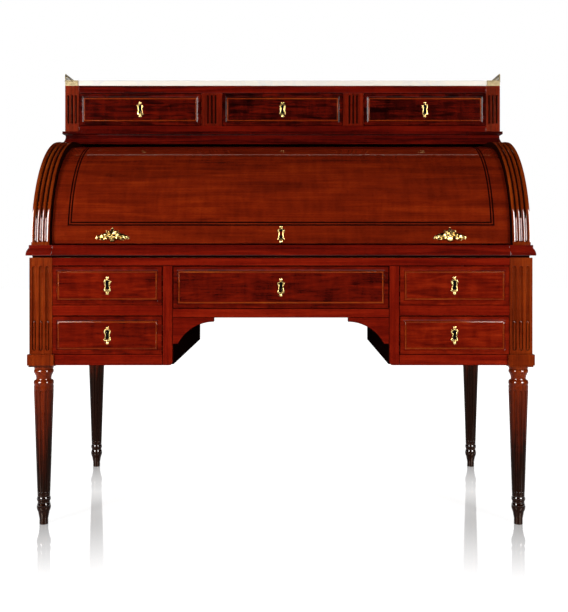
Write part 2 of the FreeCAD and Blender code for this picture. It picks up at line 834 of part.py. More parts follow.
# Upper case: sides, floor, dividers, rails and fluted pilasters
side_left = board("upper_side_left", (-upper_half, -upper_inner), (upper_frame_back, back),
                  (upper_floor_level, upper_top))
node("upper_sides", [side_left, mirrored("upper_side_right", side_left, LEFT_RIGHT)])
depth = (upper_frame_back, back_inner)
floor = board("upper_floor", (-upper_inner, upper_inner), depth, (upper_floor_level, upper_rail_top))
divider_x = (-d.pilaster_centre - d.division_board / 2, -d.pilaster_centre + d.division_board / 2)
divider = board("divider_left", divider_x, depth, (upper_rail_top, upper_top))
node("upper_floor", [floor, divider, mirrored("divider_right", divider, LEFT_RIGHT)])
case_front = (upper_front, upper_frame_back)
corner_inner = upper_half - d.corner_pilaster_width
span = (-corner_inner, corner_inner)
node("upper_rails", [board("upper_rail", span, case_front, (upper_floor_level, upper_rail_top)),
                     board("frieze", span, case_front, (upper_space_top, upper_top))])


def pilaster(name, x, low, high):
    """A fluted upright on the front of the upper case."""
    body = prism(name, "XZ", upper_front, upper_frame_back, rectangle(x, (low, high)))
    return upright_rods(body, "YZ", upper_front, 1, (x[0] + x[1]) / 2, d.pilaster_flute_pitch, FLUTES,
                        upper_rail_top + d.pilaster_flute_stop, upper_space_top - d.pilaster_flute_stop,
                        d.pilaster_flute_radius, "Groove")


pilaster_half = d.pilaster_width / 2
uprights = [
    pilaster("pilaster_corner", (-upper_half, -corner_inner), upper_floor_level, upper_top),
    pilaster("pilaster_inner", (-d.pilaster_centre - pilaster_half, -d.pilaster_centre + pilaster_half),
             upper_rail_top, upper_space_top)]
uprights += [mirrored(f"{piece.Name}_right", piece, LEFT_RIGHT) for piece in uprights]
node("upper_pilasters", uprights)

# Marble top inside its brass gallery
marble_half = upper_half - d.gallery_board
marble_level = upper_top + d.marble_height
marble = prism("marble_top", "XY", upper_top, marble_level, rectangle(
    (-marble_half, marble_half), (upper_front + d.gallery_board, back - d.gallery_board)))
node("marble_top", [marble])
gallery_top = marble_level + d.gallery_height
bands = []
for name, x, y, z in (
        ("gallery_side", (-upper_half, -marble_half), (upper_front, back), (upper_top, gallery_top)),
        ("gallery_return", (-upper_half, -upper_half + d.gallery_return),
         (upper_front, upper_front + d.gallery_board), (upper_top, marble_level))):
    band = board(name, x, y, z)
    bands += [band, mirrored(f"{name}_right", band, LEFT_RIGHT)]
bands.append(board("gallery_back", (-upper_half, upper_half), (back - d.gallery_board, back),
                   (upper_top, gallery_top)))
node("gallery", [joined("gallery", bands)])

# Writing slide with a moulded lip and a sunk leather
slide_half = post_inner - d.running_gap
slide_top = desk_top
slide_under = bed_top + d.running_gap
slide_back = front - d.cornice_throw + d.slide_depth
lip_under = carcase_top + d.running_gap
lip_edge = cornice_edge(front, -1, lip_under, slide_top)
lip = prism("slide_lip", "YZ", -slide_half, slide_half,
            lip_edge + [(lip_back, slide_top), (lip_back, lip_under)])
leaf = board("slide_leaf", (-slide_half, slide_half), (lip_back, slide_back), (slide_under, slide_top))
hide_half = slide_half - d.leather_end_margin
hide_y = (lip_back + d.leather_margin, lip_back + d.leather_margin + d.leather_depth)
hide_z = (slide_top - d.leather_height, slide_top)
hide_well = board("leather_well", (-hide_half, hide_half), hide_y, hide_z)
leaf_cut = cut_away("slide_leaf_cut", leaf, hide_well)
node("writing_slide", [joined("writing_slide", [lip, leaf_cut])])
node("slide_leather", [board("slide_leather", (-hide_half, hide_half), hide_y, hide_z)])

# Cylinder shutter: a quarter shell with a beaded panel
shell_half = wall_x - d.drawer_gap
shell_foot = desk_top + d.shell_foot_gap
shell_tip = on_arc(shell_outer, d.shell_angle)
shell_tip_inner = on_arc(shell_inner, d.shell_angle)
half_sweep = d.shell_angle / 2
shell_rise = 1 - cosine(half_sweep)
shell_blank = prism("shell_blank", "YZ", -shell_half, shell_half, [
    (axis_y - shell_outer, shell_foot), (axis_y - shell_inner, shell_foot),
    (axis_y - shell_inner, axis_z), shell_tip_inner + (shell_inner * shell_rise,), shell_tip,
    (axis_y - shell_outer, axis_z, shell_outer * -shell_rise)])
DEGREES = 180 / math.pi


def tube(name, outer, inner, half):
    """A ring about the axis, reaching half to each side."""
    body = doc.addObject("PartDesign::Body", name)
    return add_prism(body, "YZ", -half, half, [hoop(axis_y, axis_z, outer), hoop(axis_y, axis_z, inner)])


panel_x = shell_half - d.shell_panel_margin
panel_foot = axis_z + shell_outer * sine(d.shell_panel_angle)
panel_head = axis_z + d.quadrant_radius
skin = tube("shell_skin", d.quadrant_radius, shell_outer - d.quirk_radius, d.body_width / 2)


def panel_frame(spread):
    """A sunk panel line, open under the upper moulding."""
    half = panel_x + spread
    foot = panel_foot - spread
    return rectangle((-half, half), (foot, panel_head + spread))


quirks = []
for name, middle in (("outer", d.shell_bead_width / 2), ("inner", -d.shell_bead_width / 2)):
    line = doc.addObject("PartDesign::Body", f"panel_line_{name}")
    add_prism(line, "XZ", front, axis_y, [panel_frame(middle + d.quirk_radius),
                                          panel_frame(middle - d.quirk_radius)])
    quirks.append(shared(f"panel_quirk_{name}", [line, skin]))
shell = cut_away("cylinder_shell", shell_blank, joined("panel_quirks", quirks))

# Keyhole and escutcheon outlines, as shares of half the width and of the length
ESCUTCHEON = (
    (0.00, 0.50, None), (0.44, 0.415, -0.10), (0.26, 0.345, None), (0.98, 0.265, -0.12),
    (0.88, 0.150, -0.10), (0.66, 0.000, 0.06), (0.90, -0.235, 0.04), (0.46, -0.300, None),
    (0.48, -0.385, -0.06), (0.00, -0.500, -0.04),
)
KEY_HEAD = 0.13
THROAT = 0.55
THROAT_FOOT = 0.75
KEY_FOOT = -0.19


def escutcheon_loop(x, z):
    half = d.escutcheon_width / 2
    right = []
    for share, level, bulge in ESCUTCHEON:
        point = (x + half * share, z + d.escutcheon_length * level)
        right.append(point if bulge is None else point + (half * -bulge,))
    loop = list(right)
    for index in range(len(ESCUTCHEON) - 2, 0, -1):
        share, level, _ = ESCUTCHEON[index]
        bulge = ESCUTCHEON[index + 1][2]
        point = (x - half * share, z + d.escutcheon_length * level)
        loop.append(point if bulge is None else point + (half * -bulge,))
    if ESCUTCHEON[1][2] is not None:
        loop[0] = loop[0] + (half * -ESCUTCHEON[1][2],)
    return loop


def keyhole_loop(x, z):
    radius = d.keyhole_radius
    throat = radius * THROAT
    drop = root(radius * radius - throat * throat)
    head = z + d.escutcheon_length * KEY_HEAD
    foot = z + d.escutcheon_length * KEY_FOOT
    return [(x - throat, head - drop), (x + throat, head - drop, radius + drop),
            (x + radius * THROAT_FOOT, foot), (x - radius * THROAT_FOOT, foot)]


def escutcheon(name, x, z, low, high):
    body = prism(name, "XZ", low, high, escutcheon_loop(x, z))
    return sink(body, "XZ", low, [keyhole_loop(x, z)], high - low, 1)


mount_z = axis_z + d.handle_rise
plate_low = front - d.cornice_throw
plate_blank = escutcheon("cylinder_plate_blank", ZERO, mount_z, plate_low, axis_y)
mount_seat = shell_outer + d.round_gap
plate_seat = tube("plate_seat", mount_seat + d.escutcheon_board, mount_seat, d.escutcheon_width)
plate = shared("cylinder_plate", [plate_blank, plate_seat])
key_way = prism("cylinder_key_way", "XZ", plate_low, axis_y, keyhole_loop(ZERO, mount_z))
node("cylinder_shell", [cut_away("cylinder_shell_bored", shell, key_way)])
lock_low = axis_z
lock_blank = board("cylinder_lock_blank", (-d.lock_width / 2, d.lock_width / 2),
                   (axis_y - shell_inner, axis_y - shell_inner + d.lock_board),
                   (lock_low, lock_low + d.lock_height))
lock_seat = tube("lock_seat", shell_inner - d.round_gap, shell_inner - d.lock_board * 2, d.lock_width)
node("cylinder_lock", [plate, shared("cylinder_lock_case", [lock_blank, lock_seat])])

# Iron arms that carry the shutter, with a stud at the axis
arm_x = -shell_half + d.arm_setback
hub = doc.addObject("Part::Cylinder", "arm_hub")
bind(hub, Radius=d.arm_width / 2, Height=d.arm_board)
ALONG_X = FreeCAD.Rotation(Vector(0, 1, 0), RIGHT_ANGLE)
place(hub, arm_x, axis_y, axis_z, ALONG_X)
stud = doc.addObject("Part::Cylinder", "arm_stud")
bind(stud, Radius=d.stud_radius, Height=d.stud_length)
place(stud, arm_x - d.stud_length, axis_y, axis_z, ALONG_X)
bars = [hub, stud]
foot_rim = shell_inner - d.round_gap
foot_seat = foot_rim - d.arm_foot_board
for name, angle in (("low", d.arm_low_angle), ("high", d.arm_high_angle)):
    lean_y = d.arm_width / 2 * sine(angle)
    lean_z = d.arm_width / 2 * cosine(angle)
    end_y, end_z = on_arc(foot_seat + d.arm_foot_board / 2, angle)
    bars.append(prism(f"arm_bar_{name}", "YZ", arm_x, arm_x + d.arm_board, [
        (axis_y - lean_y, axis_z - lean_z), (axis_y + lean_y, axis_z + lean_z),
        (end_y + lean_y, end_z + lean_z), (end_y - lean_y, end_z - lean_z)]))
    spread = d.arm_foot / (shell_inner * 2) * DEGREES
    rise = 1 - cosine(spread)
    bars.append(prism(f"arm_foot_{name}", "YZ", arm_x - d.arm_board, arm_x + d.arm_board, [
        on_arc(foot_rim, angle - spread), on_arc(foot_rim, angle + spread) + (foot_rim * rise,),
        on_arc(foot_seat, angle + spread), on_arc(foot_seat, angle - spread) + (foot_seat * -rise,)]))
arm = joined("arm_left", bars)
node("cylinder_arms", [arm, mirrored("arm_right", arm, LEFT_RIGHT)])

# Gilt leaf handles: a bud between two sprays of lobes that droop and thin outwards
BUD = 0.26
# Each pair of lobes: way out, half width, rise, half height and stand, as shares of half the spray
LOBES = (
    (0.14, 0.26, 0.10, 0.78, 0.90),
    (0.37, 0.22, -0.04, 0.66, 0.78),
    (0.60, 0.17, 0.10, 0.51, 0.60),
    (0.79, 0.11, 0.30, 0.33, 0.42),
)


def lobe(name, x, z, wide, tall, stand):
    """A rounded swelling seated on the shutter's curve."""
    form = doc.addObject("Part::Ellipsoid", name)
    bind(form, Radius1=tall, Radius2=wide, Radius3=stand)
    form.Angle1 = -RIGHT_ANGLE
    return place(form, x, axis_y - root(shell_outer * shell_outer - (z - axis_z) * (z - axis_z)), z)


half_spray = d.handle_width / 2
handle_centre = post_inner - d.handle_inset
half_tall = d.handle_height / 2
swellings = [lobe("bud", -handle_centre, mount_z, half_spray * BUD, half_tall, d.handle_stand)]
for index, (out, wide, rise, tall, stand) in enumerate(LOBES):
    for side in (-1, 1):
        swellings.append(lobe(f"lobe_{index}", half_spray * (out * side) - handle_centre,
                              mount_z + half_tall * rise, half_spray * wide, half_tall * tall,
                              d.handle_stand * stand))
spray = joined("handle_blank", swellings)
handle = cut_away("handle_left", spray, tube("handle_seat", mount_seat, shell_inner, d.body_width / 2))
node("cylinder_handles", [handle, mirrored("handle_right", handle, LEFT_RIGHT)])

# Pigeonholes on a deck behind the writing slide
deck_low = desk_top + d.running_gap
deck_high = deck_low + d.deck_board
nest_front = axis_y + d.deck_setback
nest_back = nest_front + d.nest_depth
nest_half = post_inner - d.nest_margin
nest_top = deck_high + d.nest_height
nest_ceiling = nest_top - d.nest_board
shelf_low = deck_high + d.nest_drawer_height
shelf_high = shelf_low + d.nest_board
bay = d.nest_bay / 2
nest_y = (nest_front, nest_back - d.nest_board)
boards = [
    board("deck", (-wall_x, wall_x), (nest_front, back_inner), (deck_low, deck_high)),
    board("nest_top", (-nest_half, nest_half), (nest_front, nest_back), (nest_ceiling, nest_top)),
    board("nest_back", (-nest_half, nest_half), (nest_back - d.nest_board, nest_back),
          (deck_high, nest_ceiling)),
]
uprights = [
    board("nest_end", (-nest_half, -nest_half + d.nest_board), nest_y, (deck_high, nest_ceiling)),
    board("nest_divider", (-bay - d.nest_board, -bay), nest_y, (deck_high, nest_ceiling)),
    board("nest_shelf", (-nest_half + d.nest_board, -bay - d.nest_board), nest_y, (shelf_low, shelf_high)),
]
outer_middle = -(nest_half + bay) / 2
partition_half = d.nest_partition / 2
uprights.append(board("nest_partition", (outer_middle - partition_half, outer_middle + partition_half),
                      nest_y, (shelf_high, nest_ceiling)))
boards += uprights + [mirrored(f"{piece.Name}_right", piece, LEFT_RIGHT) for piece in uprights]
boards.append(board("nest_shelf_centre", (-bay, bay), nest_y, (shelf_low, shelf_high)))
boards.append(board("nest_partition_centre", (-partition_half, partition_half), nest_y,
                    (shelf_high, nest_ceiling)))
node("pigeonholes", boards)

KNOB_NECK = 0.55
KNOB_SHOULDER = 0.8


def knob(name, x, y, z):
    """A small turned knob on the face of an inner drawer."""
    body = doc.addObject("PartDesign::Body", name)
    radius = d.knob_radius
    length = d.knob_length
    profile = outline(body, "YZ", ZERO, [[
        (-length, ZERO), (ZERO, ZERO), (ZERO, radius * KNOB_NECK), (-length / 2, radius * KNOB_NECK),
        (-length * KNOB_SHOULDER, radius)]])
    turned = body.newObject("PartDesign::Revolution", f"{name}_turned")
    turned.Profile = profile
    turned.ReferenceAxis = (profile, ["H_Axis"])
    turned.Angle = TURN
    return place(body, x, y, z)


def inner_drawer(name, x):
    """A small drawer under the pigeonholes: front, sides, back, bottom and a knob."""
    gap = d.running_gap
    wall = d.nest_partition
    x = (x[0] + gap, x[1] - gap)
    z = (deck_high + gap, shelf_low - gap)
    y = (nest_front, nest_back - d.nest_board - gap)
    shoulder = y[0] + d.nest_board
    inner = (x[0] + wall, x[1] - wall)
    side_top = z[1] - d.nest_board
    node(name, [
        board(f"{name}_face", x, (y[0], shoulder), z),
        board(f"{name}_side_a", (x[0], inner[0]), (shoulder, y[1]), (z[0], side_top)),
        board(f"{name}_side_b", (inner[1], x[1]), (shoulder, y[1]), (z[0], side_top)),
        board(f"{name}_tail", inner, (y[1] - wall, y[1]), (z[0], side_top)),
        board(f"{name}_floor", inner, (shoulder, y[1] - wall), (z[0], z[0] + wall)),
        knob(f"{name}_knob", (x[0] + x[1]) / 2, y[0], (z[0] + z[1]) / 2)])


inner_drawer("inner_drawer_left", (-nest_half + d.nest_board, -bay - d.nest_board))
inner_drawer("inner_drawer_centre", (-bay, bay))
inner_drawer("inner_drawer_right", (bay + d.nest_board, nest_half - d.nest_board))

# Drawers with dovetailed sides, a grooved bottom, a lock and an escutcheon
TAILS = 3
TAIL_START = 0.28
TAIL_END = 0.72
TAIL_FLARE = 0.09


def tail_spans(low, high):
    pitch = (high - low) / TAILS
    flare = pitch * TAIL_FLARE
    return [(low + pitch * (index + TAIL_START), low + pitch * (index + TAIL_END), flare)
            for index in range(TAILS)]


def drawer(name, x, z, face, clearance):
    """A drawer in the opening x by z of the face, as a front, a box and a lockset."""
    gap = d.drawer_gap
    x = (x[0] + gap, x[1] - gap)
    z = (z[0] + d.running_gap, z[1] - gap)
    outside = face - d.drawer_front_proud
    shoulder = face + d.drawer_front_board
    tail_tip = shoulder - d.tail_length
    rear = back_inner - clearance
    side_top = z[0] + (z[1] - z[0]) * d.drawer_side_share
    spans = tail_spans(z[0], side_top)
    middle_x = (x[0] + x[1]) / 2
    middle_z = (z[0] + z[1]) / 2
    side = d.drawer_side_board
    inner = (x[0] + side, x[1] - side)

    plate = prism(f"{name}_face", "XZ", outside, shoulder, rectangle(x, z))
    line = d.drawer_line_margin
    field = rectangle((x[0] + line, x[1] - line), (z[0] + line, z[1] - line))
    sink(plate, "XZ", outside, [field], d.drawer_line_depth, 1, d.drawer_line_angle)
    sink(plate, "XZ", outside, [keyhole_loop(middle_x, middle_z)], shoulder - outside, 1)
    sockets = [[(shoulder, low), (shoulder, high), (tail_tip, high + flare), (tail_tip, low - flare)]
               for low, high, flare in spans]
    sink(plate, "YZ", x[0], sockets, side, 1)
    sink(plate, "YZ", x[1], sockets, side, -1)
    node(f"{name}_front", [plate])

    bottom = (z[0] + d.drawer_bottom_rise, z[0] + d.drawer_bottom_rise + d.drawer_bottom_board)
    edge = [(rear, side_top), (rear, z[0]), (shoulder, z[0])]
    for low, high, flare in spans:
        edge += [(shoulder, low), (tail_tip, low - flare), (tail_tip, high + flare), (shoulder, high)]
    edge.append((shoulder, side_top))
    groove = rectangle((shoulder, rear), bottom)
    walls = []
    for label, low, high, level, towards in (("a", x[0], inner[0], inner[0], -1),
                                             ("b", inner[1], x[1], inner[1], 1)):
        wall = prism(f"{name}_side_{label}", "YZ", low, high, edge)
        walls.append(sink(wall, "YZ", level, [groove], d.drawer_groove, towards))
    walls.append(board(f"{name}_tail", inner, (rear - d.drawer_back_board, rear), (bottom[1], side_top)))
    walls.append(board(f"{name}_floor", (inner[0] - d.drawer_groove, inner[1] + d.drawer_groove),
                       (shoulder, rear), bottom))
    node(f"{name}_box", walls)

    seat = outside + d.drawer_line_depth
    plate_front = seat - d.escutcheon_board
    half = d.lock_width / 2
    lock_top = middle_z + d.lock_height / 2
    node(f"{name}_lock", [
        escutcheon(f"{name}_plate", middle_x, middle_z, plate_front, seat),
        board(f"{name}_lock_case", (middle_x - half, middle_x + half), (shoulder, shoulder + d.lock_board),
              (middle_z - d.lock_height / 2, lock_top))])


side_x = (stile_outer, post_inner)
lower_z = (bottom_rail_top, lower_space_top)
upper_z = (middle_rail_top, top_rail_under)
for name, sign in (("left", -1), ("right", 1)):
    x = (side_x[0] * sign, side_x[1] * sign)[::sign]
    drawer(f"drawer_{name}_lower", x, lower_z, front, d.base_drawer_clearance)
    drawer(f"drawer_{name}_upper", x, upper_z, front, d.base_drawer_clearance)
drawer("drawer_centre", (-knee, knee), (centre_rail_top, top_rail_under), front, d.base_drawer_clearance)
case_z = (upper_rail_top, upper_space_top)
case_inner = d.pilaster_centre - pilaster_half
case_outer = d.pilaster_centre + pilaster_half
drawer("drawer_top_left", (-corner_inner, -case_outer), case_z, upper_front, d.upper_drawer_clearance)
drawer("drawer_top_centre", (-case_inner, case_inner), case_z, upper_front, d.upper_drawer_clearance)
drawer("drawer_top_right", (case_outer, corner_inner), case_z, upper_front, d.upper_drawer_clearance)

doc.recompute()
for item in doc.Objects:
    if "Invalid" in item.State or "Error" in item.State:
        raise RuntimeError(f"{item.Label} did not build")
os.makedirs("parts", exist_ok=True)
for name, part in NODES.items():
    if part.Shape.isNull() or not part.Shape.isValid():
        raise RuntimeError(f"{name} has no valid shape")
    part.Shape.exportStep(f"parts/{name}.step")
print(len(NODES), "sub-parts written")
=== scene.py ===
# %% [markdown]
# A neoclassical cylinder desk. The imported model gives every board, drawer and joint at its real
# place, in metres. This lesson dresses it: eased edges, figured and varnished mahogany, gilt
# mounts, a pierced gallery, veined marble, and the studio that it stands in. Nothing is moved,
# so each piece is made where the frame says and then rides on its body.

# %% Load the frame
import json
import math
import random

import bmesh
import bpy
from mathutils import Matrix, Vector


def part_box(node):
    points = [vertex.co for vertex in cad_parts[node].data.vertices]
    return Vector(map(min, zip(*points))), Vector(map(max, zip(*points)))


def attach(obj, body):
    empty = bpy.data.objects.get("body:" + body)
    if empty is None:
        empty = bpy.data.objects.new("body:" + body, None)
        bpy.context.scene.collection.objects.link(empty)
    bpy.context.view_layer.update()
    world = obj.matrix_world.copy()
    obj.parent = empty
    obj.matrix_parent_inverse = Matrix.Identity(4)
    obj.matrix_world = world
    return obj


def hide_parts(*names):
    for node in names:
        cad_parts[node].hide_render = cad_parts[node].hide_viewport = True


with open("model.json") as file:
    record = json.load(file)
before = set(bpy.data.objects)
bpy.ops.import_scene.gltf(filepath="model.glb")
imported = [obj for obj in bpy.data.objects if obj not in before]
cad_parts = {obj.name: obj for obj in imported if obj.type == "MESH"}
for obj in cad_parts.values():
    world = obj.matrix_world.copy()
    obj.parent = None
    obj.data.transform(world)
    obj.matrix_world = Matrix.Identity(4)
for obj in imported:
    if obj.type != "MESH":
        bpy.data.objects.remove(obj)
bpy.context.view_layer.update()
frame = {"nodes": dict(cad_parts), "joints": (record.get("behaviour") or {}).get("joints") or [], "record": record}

RECORD = frame["record"]
NODE_SLOT = {row["node"]: row["material_slot"] for row in RECORD["subparts"]}
NODE_BODY = {node: body for body, nodes in RECORD["behaviour"]["bodies"].items() for node in nodes}
MM = 0.001

# %% [markdown]
# A shader is a small graph, and so is a Geometry Nodes tree. Adding nodes, setting them and
# linking them by hand takes many lines, so one helper does all three: a value that is a socket
# is linked, and any other value is set on the socket itself.

# %% Node helpers
def fill(tree, sockets, values):
    """Link the named sockets to values that are sockets, and set them to other values."""
    for key, value in values.items():
        if isinstance(value, bpy.types.NodeSocket):
            tree.links.new(value, sockets[key])
        else:
            sockets[key].default_value = value


def put(tree, kind, inputs=None, **settings):
    """Add a node, set its options, then fill its inputs."""
    made = tree.nodes.new(kind)
    for key, value in settings.items():
        setattr(made, key, value)
    fill(tree, made.inputs, inputs or {})
    return made


def math_node(tree, operation, *values):
    """The result of a Math node; its values are sockets or numbers."""
    return put(tree, "ShaderNodeMath", dict(enumerate(values)), operation=operation).outputs[0]


print("node helpers ready")

# %% [markdown]
# A finish is mostly made with a few small tools: a ramp that turns a value into a colour, a change
# of range, a noise, and the place of a point on its own piece. With a helper for each of them, a
# material reads like a recipe.

# %% Ramps, ranges and noise
def ramp(tree, factor, stops):
    """A colour ramp over (place, colour) stops."""
    made = put(tree, "ShaderNodeValToRGB", {"Fac": factor})
    elements = made.color_ramp.elements
    while len(elements) < len(stops):
        elements.new(1.0)
    for element, (place, colour) in zip(elements, stops):
        element.position = place
        element.color = (*colour, 1.0)
    return made.outputs["Color"]


def stretch(tree, value, low, high, new_low=0.0, new_high=1.0):
    """A clamped change of range."""
    numbers = {"From Min": low, "From Max": high, "To Min": new_low, "To Max": new_high}
    return put(tree, "ShaderNodeMapRange", {"Value": value, **numbers}).outputs["Result"]


def noise_node(tree, place, scale, detail, distortion=0.0):
    """A noise between 0 and 1, read at a place."""
    return put(tree, "ShaderNodeTexNoise", {
        "Vector": place, "Scale": scale, "Detail": detail, "Distortion": distortion}).outputs[0]


def object_place(tree):
    """The coordinates of the piece itself, which move with it."""
    return put(tree, "ShaderNodeTexCoord").outputs["Object"]


def part_of(tree, vector, axis):
    """One axis of a vector."""
    return put(tree, "ShaderNodeSeparateXYZ", {"Vector": vector}).outputs[axis]


print("value helpers ready")

# %% [markdown]
# An effect that several finishes share is built once, as a node group with named sockets, and each
# material sets its own values on it. The shaders themselves stay in the materials.

# %% Shader groups
def shader_group(name, inputs, outputs):
    """An empty shader group with named sockets; returns it with its two ends."""
    group = bpy.data.node_groups.new(name, "ShaderNodeTree")
    for label, kind, value in inputs:
        socket = group.interface.new_socket(label, in_out="INPUT", socket_type=f"NodeSocket{kind}")
        if value is not None:
            socket.default_value = value
    for label, kind in outputs:
        group.interface.new_socket(label, in_out="OUTPUT", socket_type=f"NodeSocket{kind}")
    return group, put(group, "NodeGroupInput").outputs, put(group, "NodeGroupOutput").inputs


print("group helper ready")

# %% [markdown]
# Wood figure is built once as a group that mahogany and oak share. It reads coordinates in which
# the first axis runs along the grain of each board. Noise that is stretched along that axis
# gives the broad figure, the fine streaks and the pores, and a cross stripe gives the mottle
# that shows where the fibres wave. A picture of wood would be simpler, but it would repeat.

# %% Shared group: figure of the wood
FIGURE, figure_in, figure_out = shader_group(
    "wood figure",
    [("Wood", "Vector", None), ("Figure length", "Float", 0.3), ("Figure width", "Float", 0.03),
     ("Streak width", "Float", 0.003), ("Mottle", "Float", 0.15), ("Contrast", "Float", 1.0)],
    [("Tone", "Float"), ("Pores", "Float"), ("Relief", "Float")])
NOISE_BAND = (0.28, 0.72)
PORE_SIZE = (0.011, 0.0007)
PORE_BAND = (0.62, 0.9)
MOTTLE_SIZE = (0.022, 0.07)
FIGURE_SHARE = 0.62
STREAK_SHARE = 0.30
BASE_TONE = 0.04
MIDDLE = 0.5


def grain_noise(length, width, detail, distortion=0.0):
    """Noise stretched to a length along the grain and a width across it."""
    cell = put(FIGURE, "ShaderNodeCombineXYZ", {"X": length, "Y": width, "Z": width})
    scaled = put(FIGURE, "ShaderNodeVectorMath", {
        0: figure_in["Wood"], 1: cell.outputs[0]}, operation="DIVIDE")
    return stretch(FIGURE, noise_node(FIGURE, scaled.outputs[0], 1.0, detail, distortion), *NOISE_BAND)


broad = grain_noise(figure_in["Figure length"], figure_in["Figure width"], detail=3.0, distortion=0.9)
streaks = grain_noise(figure_in["Figure length"], figure_in["Streak width"], detail=2.0)
mottle = grain_noise(*MOTTLE_SIZE, detail=2.0, distortion=0.4)
tone = math_node(FIGURE, "MULTIPLY_ADD", broad, FIGURE_SHARE, BASE_TONE)
tone = math_node(FIGURE, "ADD", tone, math_node(FIGURE, "MULTIPLY", streaks, STREAK_SHARE))
waves = math_node(FIGURE, "MULTIPLY", math_node(FIGURE, "SUBTRACT", mottle, MIDDLE), figure_in["Mottle"])
tone = math_node(FIGURE, "SUBTRACT", math_node(FIGURE, "ADD", tone, waves), MIDDLE)
tone = math_node(FIGURE, "MULTIPLY", tone, figure_in["Contrast"])
fill(FIGURE, figure_out, {
    "Tone": math_node(FIGURE, "ADD", tone, MIDDLE),
    "Pores": stretch(FIGURE, grain_noise(*PORE_SIZE, detail=1.0), *PORE_BAND),
    "Relief": math_node(FIGURE, "ADD", streaks, mottle)})
print("wood figure group:", len(FIGURE.nodes), "nodes")

# %% [markdown]
# The hollows are darkened: in the quirks, the flutes and behind the leaves of the mounts, where old
# polish gathers dirt and where shade falls, so it is dirt and painted shade both. Ambient occlusion
# of the piece on itself finds those places, and as it looks only at the piece, it stays right when a drawer is
# pulled out.

# %% Shared group: dirt and painted shade in hollows
DIRT_AND_SHADE_GROUP, dirt_and_shade_in, dirt_and_shade_out = shader_group(
    "grime in hollows", [("Reach", "Float", 0.008), ("Strength", "Float", 0.8)], [("Mask", "Float")])
OPEN_AND_DEEP = (0.85, 0.25)
# Dirt and painted shade: the occlusion of the piece on itself darkens its hollows.
hollow = put(DIRT_AND_SHADE_GROUP, "ShaderNodeAmbientOcclusion", {
    "Distance": dirt_and_shade_in["Reach"]}, samples=6, only_local=True)
covered = stretch(DIRT_AND_SHADE_GROUP, hollow.outputs["AO"], *OPEN_AND_DEEP)
fill(DIRT_AND_SHADE_GROUP, dirt_and_shade_out, {"Mask": math_node(DIRT_AND_SHADE_GROUP, "MULTIPLY", covered, dirt_and_shade_in["Strength"])})
print("grime group:", len(DIRT_AND_SHADE_GROUP.nodes), "nodes")

# %% [markdown]
# Every finish is a Principled shader. One helper makes the material and hands back its tree and the
# shader's inputs, and another lays dirt and painted shade over a colour before the shader gets it.

# %% Material helpers
# The dark colour of dirt and painted shade in the hollows of the wood.
DIRT_AND_SHADE_COLOUR = (0.006, 0.002, 0.001, 1.0)


def material(name):
    """A new material with its tree and the inputs of its Principled shader."""
    made = bpy.data.materials.new(name)
    made.use_nodes = True
    tree = made.node_tree
    return made, tree, tree.nodes["Principled BSDF"].inputs


def dirt_and_shade(tree, colour, reach, strength, dark=DIRT_AND_SHADE_COLOUR):
    """Darken a colour in the hollows, with dirt and painted shade."""
    group = put(tree, "ShaderNodeGroup", {"Reach": reach, "Strength": strength}, node_tree=DIRT_AND_SHADE_GROUP)
    mixed = put(tree, "ShaderNodeMix", {
        "Factor": group.outputs["Mask"], "A": colour, "B": dark}, data_type="RGBA")
    return mixed.outputs["Result"]


print("dirt_and_shade_dark", DIRT_AND_SHADE_COLOUR[:3])

# %% [markdown]
# Each board reads its own coordinates and tone from attributes called wood and tone, because two
# boards of a desk are never cut from the same place. On some boards the tone also carries painted
# shade, and on the beads a painted highlight. The polish is a clear coat over the wood, so the coat
# gives the sharp highlights and the wood stays fairly rough. Legs are painted darker towards the
# floor, a painted shade, and on them the polish is kept to the upper rounds of the rings, which a cloth rubs.

# %% Wood material
FIGURE_SIZES = ("Figure length", "Figure width", "Streak width", "Mottle", "Contrast")
STRAIGHT = (0.30, 0.020, 0.0030, 0.14, 0.62)
POLISHED = (0.32, 0.42)
WOOD_DIRT_AND_SHADE = 0.85
PORE_TINT = (0.25, 0.18, 0.15, 1.0)
WAX_GLEAM = (1.0, 0.50, 0.18, 1.0)
COAT_IOR = 1.65
COAT_ROUGHNESS = 0.05
RELIEF = {"Strength": 0.04, "Distance": 0.4 * MM}
FOOT_REACH = 0.42
RING_BANDS = [(0.072, 0.022), (0.397, 0.026), (0.468, 0.007), (0.545, 0.007)]
RING_COAT = 0.85
RUBBED = (0.27, 0.19)


def ring_mask(tree, height):
    """1 on the upper rounds of the turned rings and of the ends of the rods."""
    rings = 0.0
    for middle, reach in RING_BANDS:
        rings = math_node(tree, "MAXIMUM", rings, math_node(tree, "COMPARE", height, middle, reach))
    facing = put(tree, "ShaderNodeNewGeometry").outputs["Normal"]
    upper = math_node(tree, "COMPARE", part_of(tree, facing, "Z"), *RUBBED)
    return math_node(tree, "MULTIPLY", rings, upper)


